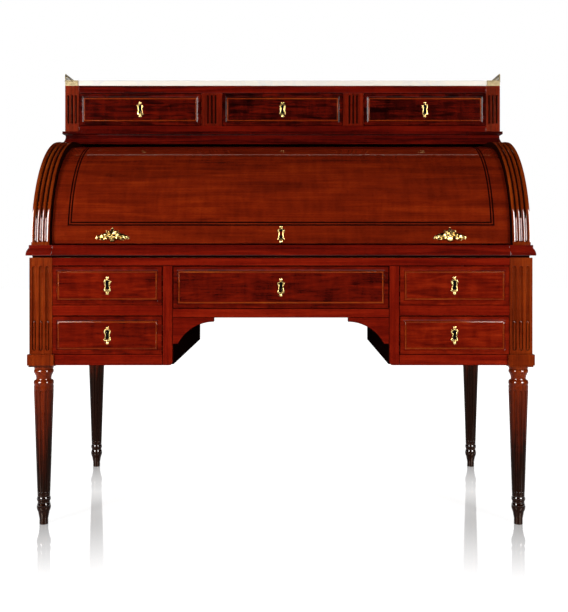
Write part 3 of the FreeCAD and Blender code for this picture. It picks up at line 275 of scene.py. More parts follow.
def wood_material(name, stops, figure=STRAIGHT, roughness=POLISHED, coat=0.9, pore_share=0.45,
                  dirt_and_shade_reach=0.007, specular=0.0, foot_shade=0.0):
    """A wood whose boards carry their own coordinates; foot_shade paints shade, darker towards the floor."""
    made, tree, shader = material(name)
    wood = put(tree, "ShaderNodeAttribute", attribute_name="wood").outputs["Vector"]
    sizes = dict(zip(FIGURE_SIZES, figure))
    group = put(tree, "ShaderNodeGroup", {"Wood": wood, **sizes}, node_tree=FIGURE).outputs
    board_tone_and_shade = put(tree, "ShaderNodeAttribute", attribute_name="tone").outputs["Fac"]
    tone = math_node(tree, "ADD", group["Tone"], board_tone_and_shade)
    if foot_shade:
        height = part_of(tree, object_place(tree), "Z")
        # Painted shade: the tone is lowered towards the floor.
        tone = math_node(tree, "ADD", tone, stretch(tree, height, 0.0, FOOT_REACH, -foot_shade, 0.0))
        coat = stretch(tree, ring_mask(tree, height), 0.0, 1.0, coat, RING_COAT)
    dulled = put(tree, "ShaderNodeMix", {
        "Factor": math_node(tree, "MULTIPLY", group["Pores"], pore_share),
        "A": ramp(tree, tone, stops), "B": PORE_TINT}, data_type="RGBA", blend_type="MULTIPLY")
    fill(tree, shader, {
        "Base Color": dirt_and_shade(tree, dulled.outputs["Result"], dirt_and_shade_reach, WOOD_DIRT_AND_SHADE),
        "Roughness": stretch(tree, group["Relief"], 0.0, 2.0, *roughness),
        "Normal": put(tree, "ShaderNodeBump", {"Height": group["Relief"], **RELIEF}).outputs["Normal"],
        "Specular IOR Level": specular, "Specular Tint": WAX_GLEAM,
        "Coat Weight": coat, "Coat IOR": COAT_IOR, "Coat Roughness": COAT_ROUGHNESS})
    return made


print("wood figure inputs:", len(FIGURE_SIZES))

# %% [markdown]
# Mahogany under French polish is a deep red brown whose figure runs from near black to orange.
# The light has turned it more golden on some parts than on others, so one list of colours is made
# redder or more golden for each: frames, the bent shutter, its quadrants, the waxed legs, the
# carved pilasters and the flame veneer of the drawers. Backs were never polished. A near-black wood
# is painted shade, for the faces in gaps, quirks and undersides.

# %% Mahogany and oak
MAHOGANY_STOPS = [
    (0.00, (0.008, 0.0009, 0.0006)), (0.12, (0.034, 0.0026, 0.0010)), (0.30, (0.078, 0.0052, 0.0014)),
    (0.52, (0.140, 0.0095, 0.0018)), (0.75, (0.215, 0.019, 0.0028)), (1.00, (0.330, 0.048, 0.0060))]
PAINTED_SHADE_STOPS = [(0.0, (0.004, 0.0008, 0.0006)), (1.0, (0.020, 0.0030, 0.0014))]
BACK_STOPS = [(0.0, (0.050, 0.013, 0.0055)), (1.0, (0.190, 0.066, 0.030))]
OAK_STOPS = [(0.0, (0.20, 0.105, 0.040)), (0.5, (0.33, 0.195, 0.085)), (1.0, (0.44, 0.29, 0.145))]
WIDE_FIGURE = (0.30, 0.030, 0.0034, 0.24, 0.52)
FLAME_FIGURE = (0.10, 0.018, 0.0050, 0.30, 0.62)
OAK_FIGURE = (0.40, 0.020, 0.0028, 0.10, 0.9)
WAX = {"roughness": (0.24, 0.34), "coat": 0.05, "specular": 0.06}


def greener(share):
    """The stops of mahogany with their green scaled: less is plum red, more is golden."""
    return [(at, (red, green * share, blue)) for at, (red, green, blue) in MAHOGANY_STOPS]


MAHOGANY = wood_material("mahogany", greener(0.6))
BENT = wood_material("mahogany_bent", greener(1.05), WIDE_FIGURE)
GOLDEN = wood_material("mahogany_golden", greener(1.6))
# The waxed legs get painted shade towards the floor.
WAXED = wood_material("mahogany_waxed", greener(1.45), dirt_and_shade_reach=0.005, foot_shade=0.95, **WAX)
CARVED = wood_material("mahogany_carved", greener(0.75), **WAX)
FLAME = wood_material("mahogany_flame", greener(0.7), FLAME_FIGURE)
# Painted shade: a near-black wood for faces in gaps, quirks, flute beds and undersides.
PAINTED_SHADE = wood_material("mahogany_unpolished", PAINTED_SHADE_STOPS, roughness=(0.60, 0.75), coat=0.0)
BACK = wood_material("mahogany_back", BACK_STOPS, roughness=(0.55, 0.70), coat=0.0)
OAK = wood_material("oak", OAK_STOPS, OAK_FIGURE, roughness=(0.50, 0.65), coat=0.0,
                    pore_share=0.7, dirt_and_shade_reach=0.010, specular=0.2)
print("woods:", len(bpy.data.materials))

# %% [markdown]
# The mounts are fire-gilt bronze: a warm yellow metal, burnished on the high parts and left
# matt in the hollows, which are darkened by dirt and painted shade. The gallery is plain brass under
# two centuries of brown, so it is only partly a mirror. The arms of the shutter are blackened iron.
# All three have a cloudy roughness.

# %% Metals
CLOUD_BAND = (0.35, 0.65)
CLOUD_DETAIL = 4.0
DIRT_AND_SHADE_SHARE = (0.06, 0.05, 0.05)
METALS = {
    # bright, worn, roughness, size of the clouds, reach and strength of the dirt and painted shade, metallic share
    "gilt_bronze": ((0.88, 0.66, 0.28), (0.58, 0.40, 0.13), (0.30, 0.16), 0.009, 0.004, 0.95, 1.0),
    "brass": ((0.24, 0.18, 0.082), (0.14, 0.10, 0.04), (0.42, 0.30), 0.010, 0.004, 0.9, 0.4),
    "iron": ((0.090, 0.088, 0.086), (0.050, 0.046, 0.043), (0.62, 0.45), 0.015, 0.008, 0.5, 1.0),
}


def metal_material(name, bright, worn, roughness, cloud, dirt_and_shade_reach, dirt_and_shade_strength, metallic):
    """A metal that is cloudy in colour and roughness, with dirt in its hollows."""
    made, tree, shader = material(name)
    cloudy = stretch(tree, noise_node(tree, object_place(tree), 1 / cloud, CLOUD_DETAIL), *CLOUD_BAND)
    colour = ramp(tree, cloudy, [(0.0, worn), (1.0, bright)])
    dirt_and_shade_dark = (*(value * share for value, share in zip(worn, DIRT_AND_SHADE_SHARE)), 1.0)
    fill(tree, shader, {
        "Base Color": dirt_and_shade(tree, colour, dirt_and_shade_reach, dirt_and_shade_strength, dirt_and_shade_dark),
        "Roughness": stretch(tree, cloudy, 0.0, 1.0, *roughness), "Metallic": metallic})
    return made


GILT, BRASS, IRON = (metal_material(name, *values) for name, values in METALS.items())
# Painted shade: a near-black sheet behind each keyhole.
KEYHOLE_SHADE, keyhole_tree, keyhole_shader = material("keyhole_dark")
fill(keyhole_tree, keyhole_shader, {
    "Base Color": (0.003, 0.003, 0.003, 1.0), "Roughness": 0.9, "Specular IOR Level": 0.0})
print("metals:", GILT.name, BRASS.name, IRON.name)

# %% [markdown]
# White marble is nearly even, with grey veins that wander and fork. Veins are thin where a noise
# passes through its middle value, so the distance from that value makes them, at two scales, and
# a third noise makes the veins fade in and out. The leather is a fine pebble of Voronoi cells.

# %% Marble and leather
MARBLE_STOPS = [(0.0, (0.77, 0.71, 0.62)), (0.35, (0.70, 0.665, 0.62)), (1.0, (0.36, 0.35, 0.34))]
LARGE_VEIN = (4.0, 0.035)
SMALL_VEIN = (14.0, 0.03)
LARGE_FADE = (0.40, 0.70, 0.0, 0.55)
SMALL_SHARE = 0.12
MARBLE_ROUGHNESS = (0.3, 0.7, 0.36, 0.48)
LEATHER_STOPS = [(0.0, (0.010, 0.030, 0.016)), (1.0, (0.032, 0.070, 0.036))]
LEATHER_ROUGHNESS = (0.42, 0.60)
WEAR_BAND = (0.35, 0.68)
PEBBLE = {"Strength": 0.35, "Distance": 0.3 * MM}
PEBBLES_PER_METRE = 900.0


def vein(tree, place, scale, width):
    """Thin lines where a warped noise passes its middle value."""
    noise = noise_node(tree, place, scale, detail=6.0, distortion=1.4)
    away = math_node(tree, "ABSOLUTE", math_node(tree, "SUBTRACT", noise, MIDDLE))
    return stretch(tree, away, 0.0, width, 1.0, 0.0)


def marble_material():
    made, tree, shader = material("marble")
    place = object_place(tree)
    fade = noise_node(tree, place, scale=3.0, detail=2.0)
    large = math_node(tree, "MULTIPLY", vein(tree, place, *LARGE_VEIN), stretch(tree, fade, *LARGE_FADE))
    small = math_node(tree, "MULTIPLY", vein(tree, place, *SMALL_VEIN), SMALL_SHARE)
    fill(tree, shader, {
        "Base Color": ramp(tree, math_node(tree, "MAXIMUM", large, small), MARBLE_STOPS),
        "Roughness": stretch(tree, fade, *MARBLE_ROUGHNESS), "Specular IOR Level": 0.2})
    return made


def leather_material():
    made, tree, shader = material("leather")
    place = object_place(tree)
    cells = put(tree, "ShaderNodeTexVoronoi", {
        "Vector": place, "Scale": PEBBLES_PER_METRE}, feature="DISTANCE_TO_EDGE")
    worn = stretch(tree, noise_node(tree, place, scale=9.0, detail=5.0), *WEAR_BAND)
    pebble = put(tree, "ShaderNodeBump", {"Height": cells.outputs["Distance"], **PEBBLE})
    fill(tree, shader, {
        "Base Color": ramp(tree, worn, LEATHER_STOPS), "Normal": pebble.outputs["Normal"],
        "Roughness": stretch(tree, worn, 0.0, 1.0, *LEATHER_ROUGHNESS)})
    return made


MARBLE = marble_material()
LEATHER = leather_material()
MATERIAL_OF_SLOT = {"mahogany": MAHOGANY, "oak": OAK, "gilt_bronze": GILT, "brass": BRASS,
                    "iron": IRON, "marble": MARBLE, "leather": LEATHER}
print("materials:", len(bpy.data.materials))

# %% [markdown]
# A CAD solid has knife edges, and a real board never has: the plane and two centuries of polish
# ease them, and the eased edge is what catches the light. Each visible node is copied, its loose
# triangles are merged and flattened into faces, and a Bevel rounds the edges. Weighted normals then
# keep the broad faces flat. The CAD node stays as it is, hidden.

# %% Mesh helpers
MERGE_DISTANCE = 1e-6
FLAT_ANGLE = math.radians(0.4)
SHARP_ANGLE = math.radians(32)
EDGE_SEGMENTS = 2


def link(name, data):
    """A new object in the scene."""
    made = bpy.data.objects.new(name, data)
    bpy.context.scene.collection.objects.link(made)
    return made


def settle(helper):
    """The evaluated mesh of a helper object, which is then removed."""
    graph = bpy.context.evaluated_depsgraph_get()
    mesh = bpy.data.meshes.new_from_object(helper.evaluated_get(graph))
    bpy.data.objects.remove(helper)
    return mesh


def node_bmesh(node):
    """A merged copy of a CAD node."""
    bm = bmesh.new()
    bm.from_mesh(frame["nodes"][node].data)
    bmesh.ops.remove_doubles(bm, verts=bm.verts, dist=MERGE_DISTANCE)
    bmesh.ops.dissolve_limit(bm, angle_limit=FLAT_ANGLE, verts=bm.verts, edges=bm.edges)
    return bm


def to_mesh(bm, name):
    """A smooth-shaded mesh with its sharp edges marked."""
    for face in bm.faces:
        face.smooth = True
    mesh = bpy.data.meshes.new(name)
    bm.to_mesh(mesh)
    bm.free()
    mesh.set_sharp_from_angle(angle=SHARP_ANGLE)
    return mesh


def eased(mesh, width=None):
    """The mesh with its sharp edges rounded to a width and its broad faces shaded flat."""
    helper = link("helper", mesh)
    if width:
        bevel = helper.modifiers.new("eased edges", "BEVEL")
        bevel.width = width
        bevel.segments = EDGE_SEGMENTS
        bevel.limit_method = "ANGLE"
        bevel.angle_limit = SHARP_ANGLE
    flat = helper.modifiers.new("broad faces flat", "WEIGHTED_NORMAL")
    flat.mode = "FACE_AREA" if width else "FACE_AREA_WITH_ANGLE"
    flat.keep_sharp = True
    return settle(helper)


print("edges rounded in", EDGE_SEGMENTS, "steps")

# %% [markdown]
# A node can hold several boards, and each was sawn from a plank of its own. Vertices that hang
# together are one board. Its longest side gives the way of the grain, and a place in the plank and
# a small change of tone, both random but fixed, set it apart from its neighbours. Some boards are
# set darker or lighter one by one. On the upper case, the kneehole sides and the rear legs the
# darker tone is painted shade, where less light falls; the other values lighten or darken single boards.

# %% Grain of the boards
PLANK = 7.0
TONE_SPREAD = 0.03
# Painted shade on the upper case, the kneehole sides and the rear legs; other values set single boards apart.
BOARD_TONE_AND_SHADE = {
    "drawer_top": -0.32, "drawer_centre": -0.18, "drawer_left_lower": -0.09, "drawer_right_lower": 0.05,
    "drawer_left_upper": -0.08, "kneehole_sides": -0.60, "upper_moulding": -0.27, "upper_rails": -0.17,
    "upper_sides": -0.10, "leg_front": 0.05, "quadrant": 0.12, "leg_rear": -0.26, "upper_pilasters": -0.05,
    "cornice": -0.08, "writing_slide": -0.08, "kneehole_stiles": 0.06, "front_rails": 0.04}


def islands(bm):
    """Groups of vertices that hang together: one for each separate solid."""
    seen = set()
    groups = []
    for start in bm.verts:
        if start in seen:
            continue
        seen.add(start)
        group = [start]
        for vert in group:
            for edge in vert.link_edges:
                other = edge.other_vert(vert)
                if other not in seen:
                    seen.add(other)
                    group.append(other)
        groups.append(group)
    return groups


def extent(verts):
    """The lowest and the highest corner of some vertices."""
    return [Vector([end(vert.co[axis] for vert in verts) for axis in range(3)]) for end in (min, max)]


def lay_grain(bm, name, along=None):
    """Give each board wood coordinates: along its longest side first, from its own plank."""
    layer = bm.verts.layers.float_vector.new("wood")
    tone_layer = bm.verts.layers.float.new("tone")
    shade = next((value for key, value in BOARD_TONE_AND_SHADE.items() if name.startswith(key)), 0.0)
    for index, verts in enumerate(islands(bm)):
        lows, highs = extent(verts)
        order = sorted(range(3), key=lambda axis: lows[axis] - highs[axis])
        chance = random.Random(f"{name} {index}")
        plank = Vector([chance.uniform(0.0, PLANK) for _ in range(3)])
        board_tone_and_shade = shade + chance.uniform(-TONE_SPREAD, TONE_SPREAD)
        for vert in verts:
            place = along(vert.co) if along else Vector([vert.co[axis] for axis in order])
            vert[layer] = place + plank
            vert[tone_layer] = board_tone_and_shade


print("boards with a tone of their own:", len(BOARD_TONE_AND_SHADE))

# %% [markdown]
# Most pieces are the eased copy of one node.

# %% Dressing a node
PIECES = []


def piece(name, mesh, body, materials, nodes=()):
    """Finish a piece: its materials, the body that it rides on and the nodes that it stands for."""
    for entry in materials:
        mesh.materials.append(entry)
    made = link(name, mesh)
    mesh.name = name
    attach(made, body)
    if nodes:
        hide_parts(*nodes)
    PIECES.append(made)
    return made


def dress(node, width, finish=None, along=None):
    """Replace a node by its eased copy."""
    bm = node_bmesh(node)
    lay_grain(bm, node, along)
    mesh = eased(to_mesh(bm, node), width)
    slot = NODE_SLOT[node]
    return piece(f"{node}_finished", mesh, NODE_BODY[node], [finish or MATERIAL_OF_SLOT[slot]], [node])


print("nodes to dress:", len(NODE_SLOT))

# %% [markdown]
# Faces that look into a gap, into the kneehole or down get a near-black painted shade, and that is
# what draws the black lines between the parts of a piece of furniture. After a piece is made, its
# faces are tested, and those in such places get the painted shade.

# %% Faces painted with shade
def paint_shade_on(made, raw):
    """Give the near-black painted shade to the faces that the test, given centre and normal, picks."""
    made.data.materials.append(PAINTED_SHADE)
    index = len(made.data.materials) - 1
    count = 0
    for face in made.data.polygons:
        if raw(face.center, face.normal):
            face.material_index = index
            count += 1
    print(made.name, "raw faces:", count)


print("raw wood:", PAINTED_SHADE.name)

# %% [markdown]
# The fixed joinery comes first. Boards get an edge of about a millimetre, the fluted legs and
# pilasters keep their own turned and carved edges, and the inner oak is only planed. Painted shade
# is laid on the kneehole's sides and on the faces of its frame that don't look forward, in the quirk
# under the cornice and the slide, under the upper moulding and in the beds of the flutes.

# %% Carcase and upper case
BOARD_EDGE = 0.9 * MM
FINE_EDGE = 0.5 * MM
MARBLE_EDGE = 1.6 * MM
QUIRK_HEIGHT = 5.7 * MM
FLUTE_BED = 3.2 * MM
FRONT_FACING = -0.95
DOWNWARD = -0.9
SIDEWAYS = 0.95
BOARDS = ["base_side_left", "base_side_right", "kneehole_stiles", "front_rails", "kneehole_brackets",
          "cornice", "upper_moulding", "upper_sides", "upper_rails", "cylinder_side_left",
          "cylinder_side_right", "writing_slide"]
# The backs are unpolished wood; the kneehole sides get the near-black painted shade.
UNPOLISHED_AND_SHADED = {"base_back": BACK, "kneehole_sides": PAINTED_SHADE, "upper_back": BACK}
for node in BOARDS:
    made = dress(node, BOARD_EDGE)
    quirk_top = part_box(node)[0].z + QUIRK_HEIGHT
    # Painted shade on faces that don't look forward, in the quirk at the foot and under the moulding.
    if node in ("kneehole_stiles", "kneehole_brackets", "front_rails"):
        paint_shade_on(made, lambda centre, normal: normal.y > FRONT_FACING)
    if node in ("cornice", "writing_slide"):
        paint_shade_on(made, lambda centre, normal: centre.z < quirk_top)
    if node == "upper_moulding":
        paint_shade_on(made, lambda centre, normal: normal.z < DOWNWARD)
for node, finish in UNPOLISHED_AND_SHADED.items():
    dress(node, BOARD_EDGE, finish)
for node in ("leg_front_left", "leg_front_right", "leg_rear_left", "leg_rear_right"):
    dress(node, None, WAXED)
pilasters = dress("upper_pilasters", None, CARVED)
flute_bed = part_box("upper_pilasters")[0].y + FLUTE_BED
# Painted shade in the beds of the flutes.
paint_shade_on(pilasters, lambda centre, normal: centre.y > flute_bed and abs(normal.x) < SIDEWAYS)
for node in ("drawer_runners", "slide_bed", "upper_floor", "pigeonholes"):
    dress(node, FINE_EDGE)
dress("marble_top", MARBLE_EDGE)
dress("cylinder_arms", FINE_EDGE)
print("fixed pieces:", len(PIECES))

# %% [markdown]
# The quadrants are steam-bent: their grain follows the curve, so the wood coordinates of the copy
# run along the arc about the shutter's axis. The CAD mesh is made of flat strips, which would break
# the highlight, so the round face is shaded by the true curve, a little crowned on each ridge. The
# beds of the flutes and the inner edge get the near-black painted shade.

# %% Quadrants
ROLL = next(joint for joint in frame["joints"] if joint["name"] == "cylinder_roll")
AXIS = Vector(ROLL["pos_m"])
QUADRANT_RADIUS = AXIS.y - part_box("quadrant_left")[0].y
CURVE_SLACK = 0.06 * MM
RIDGE_WIDTH = 14 * MM
RIDGE_CROWN = 0.24
GROOVE_SKIN = 0.4 * MM
CURVED_BED = 3.9 * MM
CURVED_BED_END = 6.0 * MM


def round_axis(point):
    """The turn of a point about the shutter's axis, and its distance from it."""
    radius = math.hypot(point.y - AXIS.y, point.z - AXIS.z)
    return math.atan2(point.z - AXIS.z, AXIS.y - point.y), radius


def grain_round_axis(point):
    turn, radius = round_axis(point)
    return Vector((turn * QUADRANT_RADIUS, point.x, radius))


def true_curve(quadrant):
    """Shade the round face by the curve itself, and the ridges between flutes as a little crowned."""
    mesh = quadrant.data
    on_face = [abs(round_axis(vert.co)[1] - QUADRANT_RADIUS) < CURVE_SLACK for vert in mesh.vertices]
    normals = [Vector()] * len(mesh.loops)
    for face in mesh.polygons:
        if all(on_face[index] for index in face.vertices):
            across = [mesh.vertices[index].co.x for index in face.vertices]
            lean = RIDGE_CROWN if max(across) - min(across) < RIDGE_WIDTH else 0.0
            for loop in face.loop_indices:
                point = mesh.vertices[mesh.loops[loop].vertex_index].co
                aside = math.copysign(lean, point.x - (max(across) + min(across)) / 2)
                out = Vector((0.0, point.y - AXIS.y, point.z - AXIS.z)).normalized()
                normals[loop] = (out + Vector((aside, 0.0, 0.0))).normalized()
    mesh.normals_split_custom_set(normals)
    return sum(normal.length > 0 for normal in normals)


for side in ("left", "right"):
    node = f"quadrant_{side}"
    bent = dress(node, None, GOLDEN, along=grain_round_axis)
    print(bent.name, "corners on the curve:", true_curve(bent))
    inner_x, outer_x = sorted(abs(corner.x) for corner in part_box(node))
    # Painted shade on the inner edge and in the beds of the flutes.
    paint_shade_on(bent, lambda centre, normal: abs(centre.x) < inner_x + CURVE_SLACK or (
        abs(centre.x) < outer_x - GROOVE_SKIN
        and CURVED_BED < QUADRANT_RADIUS - round_axis(centre)[1] < CURVED_BED_END))
print("quadrant radius", round(QUADRANT_RADIUS, 4))

# %% [markdown]
# The shutter is the show piece: one wide quarter round veneered with the grain across it, and a
# panel marked by a bead between two quirks. A glossy curve shows every facet, so it isn't copied
# from the CAD triangles. It is a grid whose lines fall on the edges of the quirks, and a depth is
# worked out for each crossing from its distance to the panel's line and to the shell's own edges.

# %% Grid of the shutter
SHELL_LOW, SHELL_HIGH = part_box("cylinder_shell")
SHELL_RADIUS = AXIS.y - SHELL_LOW.y
SHELL_BOARD = 22 * MM
SHELL_TURN = math.acos((AXIS.y - SHELL_HIGH.y) / SHELL_RADIUS)
PANEL_MARGIN = 48 * MM
PANEL_TURN = math.radians(9.9)
BEAD_HALF = 3.5 * MM
QUIRK = 2.0 * MM
SHELL_EDGE = 2.0 * MM
SHELL_STEPS = 72
QUIRK_STEPS = (-1.0, -0.6, -0.25, 0.25, 0.6, 1.0)
EDGE_STEPS = (0.0, 0.15, 0.45, 1.0)


def quirk_lines(centre):
    """Grid lines over a bead and the two quirks beside it."""
    lines = [centre]
    for middle in (-BEAD_HALF, BEAD_HALF):
        lines += [centre + middle + QUIRK * step for step in QUIRK_STEPS]
    return lines


def edge_lines(edge, inward):
    """Grid lines over a rounded edge."""
    return [edge + inward * SHELL_EDGE * share for share in EDGE_STEPS]


panel_x = SHELL_HIGH.x - PANEL_MARGIN
foot_run = AXIS.z - SHELL_LOW.z
panel_s = foot_run + SHELL_RADIUS * PANEL_TURN
lines_x = sorted([0.0, *quirk_lines(panel_x), *quirk_lines(-panel_x),
                  *edge_lines(SHELL_HIGH.x, -1), *edge_lines(-SHELL_HIGH.x, 1)])
arc_lines = [foot_run + SHELL_RADIUS * SHELL_TURN * step / SHELL_STEPS for step in range(SHELL_STEPS + 1)]
clear = BEAD_HALF + QUIRK + SHELL_EDGE
lines_s = sorted([*(line for line in arc_lines if abs(line - panel_s) > clear),
                  *quirk_lines(panel_s), *edge_lines(0.0, 1)])
print("shutter grid", len(lines_x), "by", len(lines_s))

# %% [markdown]
# Under the full curve lies a half round in each quirk, and a quarter round takes off the edges. A
# point is placed by how far it is across, up the straight foot or along the arc, and under the
# surface.

# %% Depth and place on the shutter
def shell_depth(x, s):
    """How far the face lies under the full curve."""
    off_panel = max(abs(x) - panel_x, panel_s - s)
    depth = 0.0
    for middle in (-BEAD_HALF, BEAD_HALF):
        share = abs(off_panel - middle) / QUIRK
        if share < 1.0:
            depth = max(depth, QUIRK * math.sqrt(1.0 - share * share))
    to_edge = min(SHELL_HIGH.x - abs(x), s)
    if to_edge < SHELL_EDGE:
        depth += SHELL_EDGE - math.sqrt(SHELL_EDGE ** 2 - (SHELL_EDGE - to_edge) ** 2)
    return depth


def shell_point(x, s, depth):
    """A point of the shutter: x across, s up the straight foot and along the arc."""
    radius = SHELL_RADIUS - depth
    if s < foot_run:
        return Vector((x, AXIS.y - radius, SHELL_LOW.z + s))
    turn = (s - foot_run) / SHELL_RADIUS
    return Vector((x, AXIS.y - radius * math.cos(turn), AXIS.z + radius * math.sin(turn)))


print("depth of a quirk", round(shell_depth(panel_x + BEAD_HALF, 2 * panel_s), 5))

# %% [markdown]
# Two such grids, the face and the back of the shell, are closed into a solid along their rim. The
# cast leaves of the handles will be closed in the same way. The quirks and edges get painted shade.

# %% Shutter
def close_slab(bm, face, back):
    """Close two grids of vertices, one behind the other, into a solid."""
    last_i = len(face) - 1
    last_j = len(face[0]) - 1
    for grid, turned in ((face, False), (back, True)):
        for i in range(last_i):
            for j in range(last_j):
                corners = [grid[i][j], grid[i][j + 1], grid[i + 1][j + 1], grid[i + 1][j]]
                bm.faces.new(corners[::-1] if turned else corners)
    rim = [(i, 0) for i in range(last_i)] + [(last_i, j) for j in range(last_j)]
    rim += [(i, last_j) for i in range(last_i, 0, -1)] + [(0, j) for j in range(last_j, 0, -1)]
    for (i, j), (k, m) in zip(rim, rim[1:] + rim[:1]):
        bm.faces.new([face[k][m], back[k][m], back[i][j], face[i][j]])


def build_shell():
    bm = bmesh.new()
    layer = bm.verts.layers.float_vector.new("wood")
    grids = []
    for inside in (False, True):
        grid = []
        for s in lines_s:
            row = []
            for x in lines_x:
                vert = bm.verts.new(shell_point(x, s, SHELL_BOARD if inside else shell_depth(x, s)))
                vert[layer] = Vector((x, s, SHELL_BOARD if inside else 0.0))
                row.append(vert)
            grid.append(row)
        grids.append(grid)
    close_slab(bm, *grids)
    return eased(to_mesh(bm, "shutter"))


def under_curve(point):
    """How far a point of the shutter lies under its full curve."""
    return SHELL_RADIUS - (round_axis(point)[1] if point.z > AXIS.z else AXIS.y - point.y)


shutter = piece("shutter", build_shell(), "cylinder", [BENT], ["cylinder_shell"])
# Painted shade in the quirks and on the rounded edges.
paint_shade_on(shutter, lambda centre, normal: GROOVE_SKIN < under_curve(centre) < SHELL_EDGE)
print("shutter radius", round(SHELL_RADIUS, 4), "turn", round(math.degrees(SHELL_TURN), 1))

# %% [markdown]
# A drawer front is a flame-figured veneer with a thin bead mitred round its field. The front
# itself is the eased copy, dovetail sockets and all. The bead is a half round carried round the
# field's rectangle: a mitred corner needs each profile point to move in by the same amount on
# both sides, which four corners times the profile give directly. The bead's wood is lighter, a
# painted highlight. The outer rim of the front gets the near-black painted shade, and that draws
# the dark gap round each drawer.

# %% Drawer fronts and beads
FRONT_EDGE = 1.1 * MM
FIELD_INSET = Vector((13.4 * MM, 0.0, 13.4 * MM))
FIELD_DEPTH = 2.5 * MM
RIM_WIDTH = 2.1 * MM
BEAD_RADIUS = 1.8 * MM
BEAD_STEPS = 8
# Painted highlight: the bead's tone is raised to stand for its highlight.
BEAD_HIGHLIGHT_TONE = 0.16
DRAWERS = [body for body in RECORD["behaviour"]["bodies"] if body.startswith("drawer_")]


def rectangle(low, high, inset):
    """The four corners of a rectangle drawn in by an inset, in its own two axes."""
    return [(low[0] + inset, low[1] + inset), (high[0] - inset, low[1] + inset),
            (high[0] - inset, high[1] - inset), (low[0] + inset, high[1] - inset)]


def mitred_bead(low, high, face):
    """A half-round bead laid inside a rectangle in the plane of the front."""
    bm = bmesh.new()
    layer = bm.verts.layers.float_vector.new("wood")
    tone_layer = bm.verts.layers.float.new("tone")
    rings = []
    for step in range(BEAD_STEPS + 1):
        turn = math.pi * step / BEAD_STEPS
        y = face - BEAD_RADIUS * math.sin(turn)
        corners = rectangle(low.xz, high.xz, BEAD_RADIUS * (1 - math.cos(turn)))
        ring = [bm.verts.new((x, y, z)) for x, z in corners]
        for vert in ring:
            vert[layer] = vert.co.xzy
            vert[tone_layer] = BEAD_HIGHLIGHT_TONE
        rings.append(ring)
    for first, second in zip(rings, rings[1:] + rings[:1]):
        for side in range(4):
            after = (side + 1) % 4
            bm.faces.new([first[side], first[after], second[after], second[side]])
    bmesh.ops.recalc_face_normals(bm, faces=bm.faces)
    return to_mesh(bm, "bead")


def to_rim(centre, low, high):
    """How far a point of a front lies from its outer edge."""
    return min(centre.x - low.x, high.x - centre.x, centre.z - low.z, high.z - centre.z)


for body in DRAWERS:
    node = f"{body}_front"
    low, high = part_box(node)
    # Painted shade on the outer rim of the front, which draws the dark gap.
    paint_shade_on(dress(node, FRONT_EDGE, FLAME), lambda centre, normal: to_rim(centre, low, high) < RIM_WIDTH)
    dress(f"{body}_box", FINE_EDGE)
    bead = mitred_bead(low + FIELD_INSET, high - FIELD_INSET, low.y + FIELD_DEPTH)
    piece(f"{body}_bead", bead, body, [WAXED])
print("drawers:", len(DRAWERS))

# %% [markdown]
# The little drawers under the pigeonholes have turned gilt knobs. Knob and boards are one node,
# so the copy is split by its islands: the island that stands in front of the drawer's face is
# the knob, and it takes the metal.

# %% Inner drawers
KNOB_STAND = 5 * MM
INNER_DRAWERS = [body for body in RECORD["behaviour"]["bodies"] if body.startswith("inner_drawer")]
for body in INNER_DRAWERS:
    bm = node_bmesh(body)
    lay_grain(bm, body)
    front = extent(bm.verts)[0].y
    for verts in islands(bm):
        if extent(verts)[0].y < front + KNOB_STAND:
            for face in {face for vert in verts for face in vert.link_faces}:
                face.material_index = 1
    mesh = eased(to_mesh(bm, body), FINE_EDGE)
    piece(f"{body}_finished", mesh, body, [MAHOGANY, GILT], [body])
print("inner drawers:", len(INNER_DRAWERS))

# %% [markdown]
# Each lock shows a gilt escutcheon: a ball finial, scrolled shoulders, a waist, a flared foot and
# a pendant round a pear-shaped keyhole. A filled curve with a bevel gives a plate with rounded
# edges and a clean hole in one step, so only the right half of each outline has to be drawn.

# %% Outline of the escutcheon
PLATE_SIDE = [(2.9, 23.8), (4.3, 21.0), (3.2, 18.2), (2.6, 16.9), (4.8, 16.2), (8.2, 14.0), (9.6, 10.4),
              (8.9, 7.2), (7.2, 4.0), (6.6, 1.0), (7.0, -4.0), (8.3, -9.5), (9.2, -12.9), (8.4, -14.8),
              (4.6, -15.4), (3.2, -16.6), (4.2, -19.6), (2.8, -23.4)]
KEYHOLE_SIDE = [(4.0, 12.6), (5.4, 9.4), (4.3, 6.0), (3.5, 3.2), (4.0, -3.0), (5.0, -9.2)]
PLATE_BEVEL = 0.9 * MM
PLATE_CORE = 0.4 * MM


def whole_outline(top, side, foot):
    """A closed outline from its right half, in millimetres."""
    return [(0.0, top), *side, (0.0, foot), *[(-x, z) for x, z in reversed(side)]]


PLATE_LINE = whole_outline(24.5, PLATE_SIDE, -24.5)
KEYHOLE_LINE = whole_outline(14.0, KEYHOLE_SIDE, -9.8)


def plate_curve():
    """The plate as a filled flat curve with the keyhole left out."""
    curve = bpy.data.curves.new("plate", "CURVE")
    curve.dimensions = "2D"
    curve.fill_mode = "BOTH"
    curve.resolution_u = 3
    curve.bevel_depth = PLATE_BEVEL
    curve.bevel_resolution = 2
    curve.extrude = PLATE_CORE
    curve.offset = -PLATE_BEVEL
    for points in (PLATE_LINE, KEYHOLE_LINE[::-1]):
        spline = curve.splines.new("BEZIER")
        spline.bezier_points.add(len(points) - 1)
        spline.use_cyclic_u = True
        for handle, (x, z) in zip(spline.bezier_points, points):
            handle.co = (x * MM, z * MM, 0.0)
            handle.handle_left_type = handle.handle_right_type = "AUTO"
    return curve


print("escutcheon points", len(PLATE_LINE), "keyhole points", len(KEYHOLE_LINE))

# %% [markdown]
# The real plate is cast in relief. The ball, the scrolls, the foot and the pendant are unit balls,
# each stretched to its own half sizes and sunk into the plate.

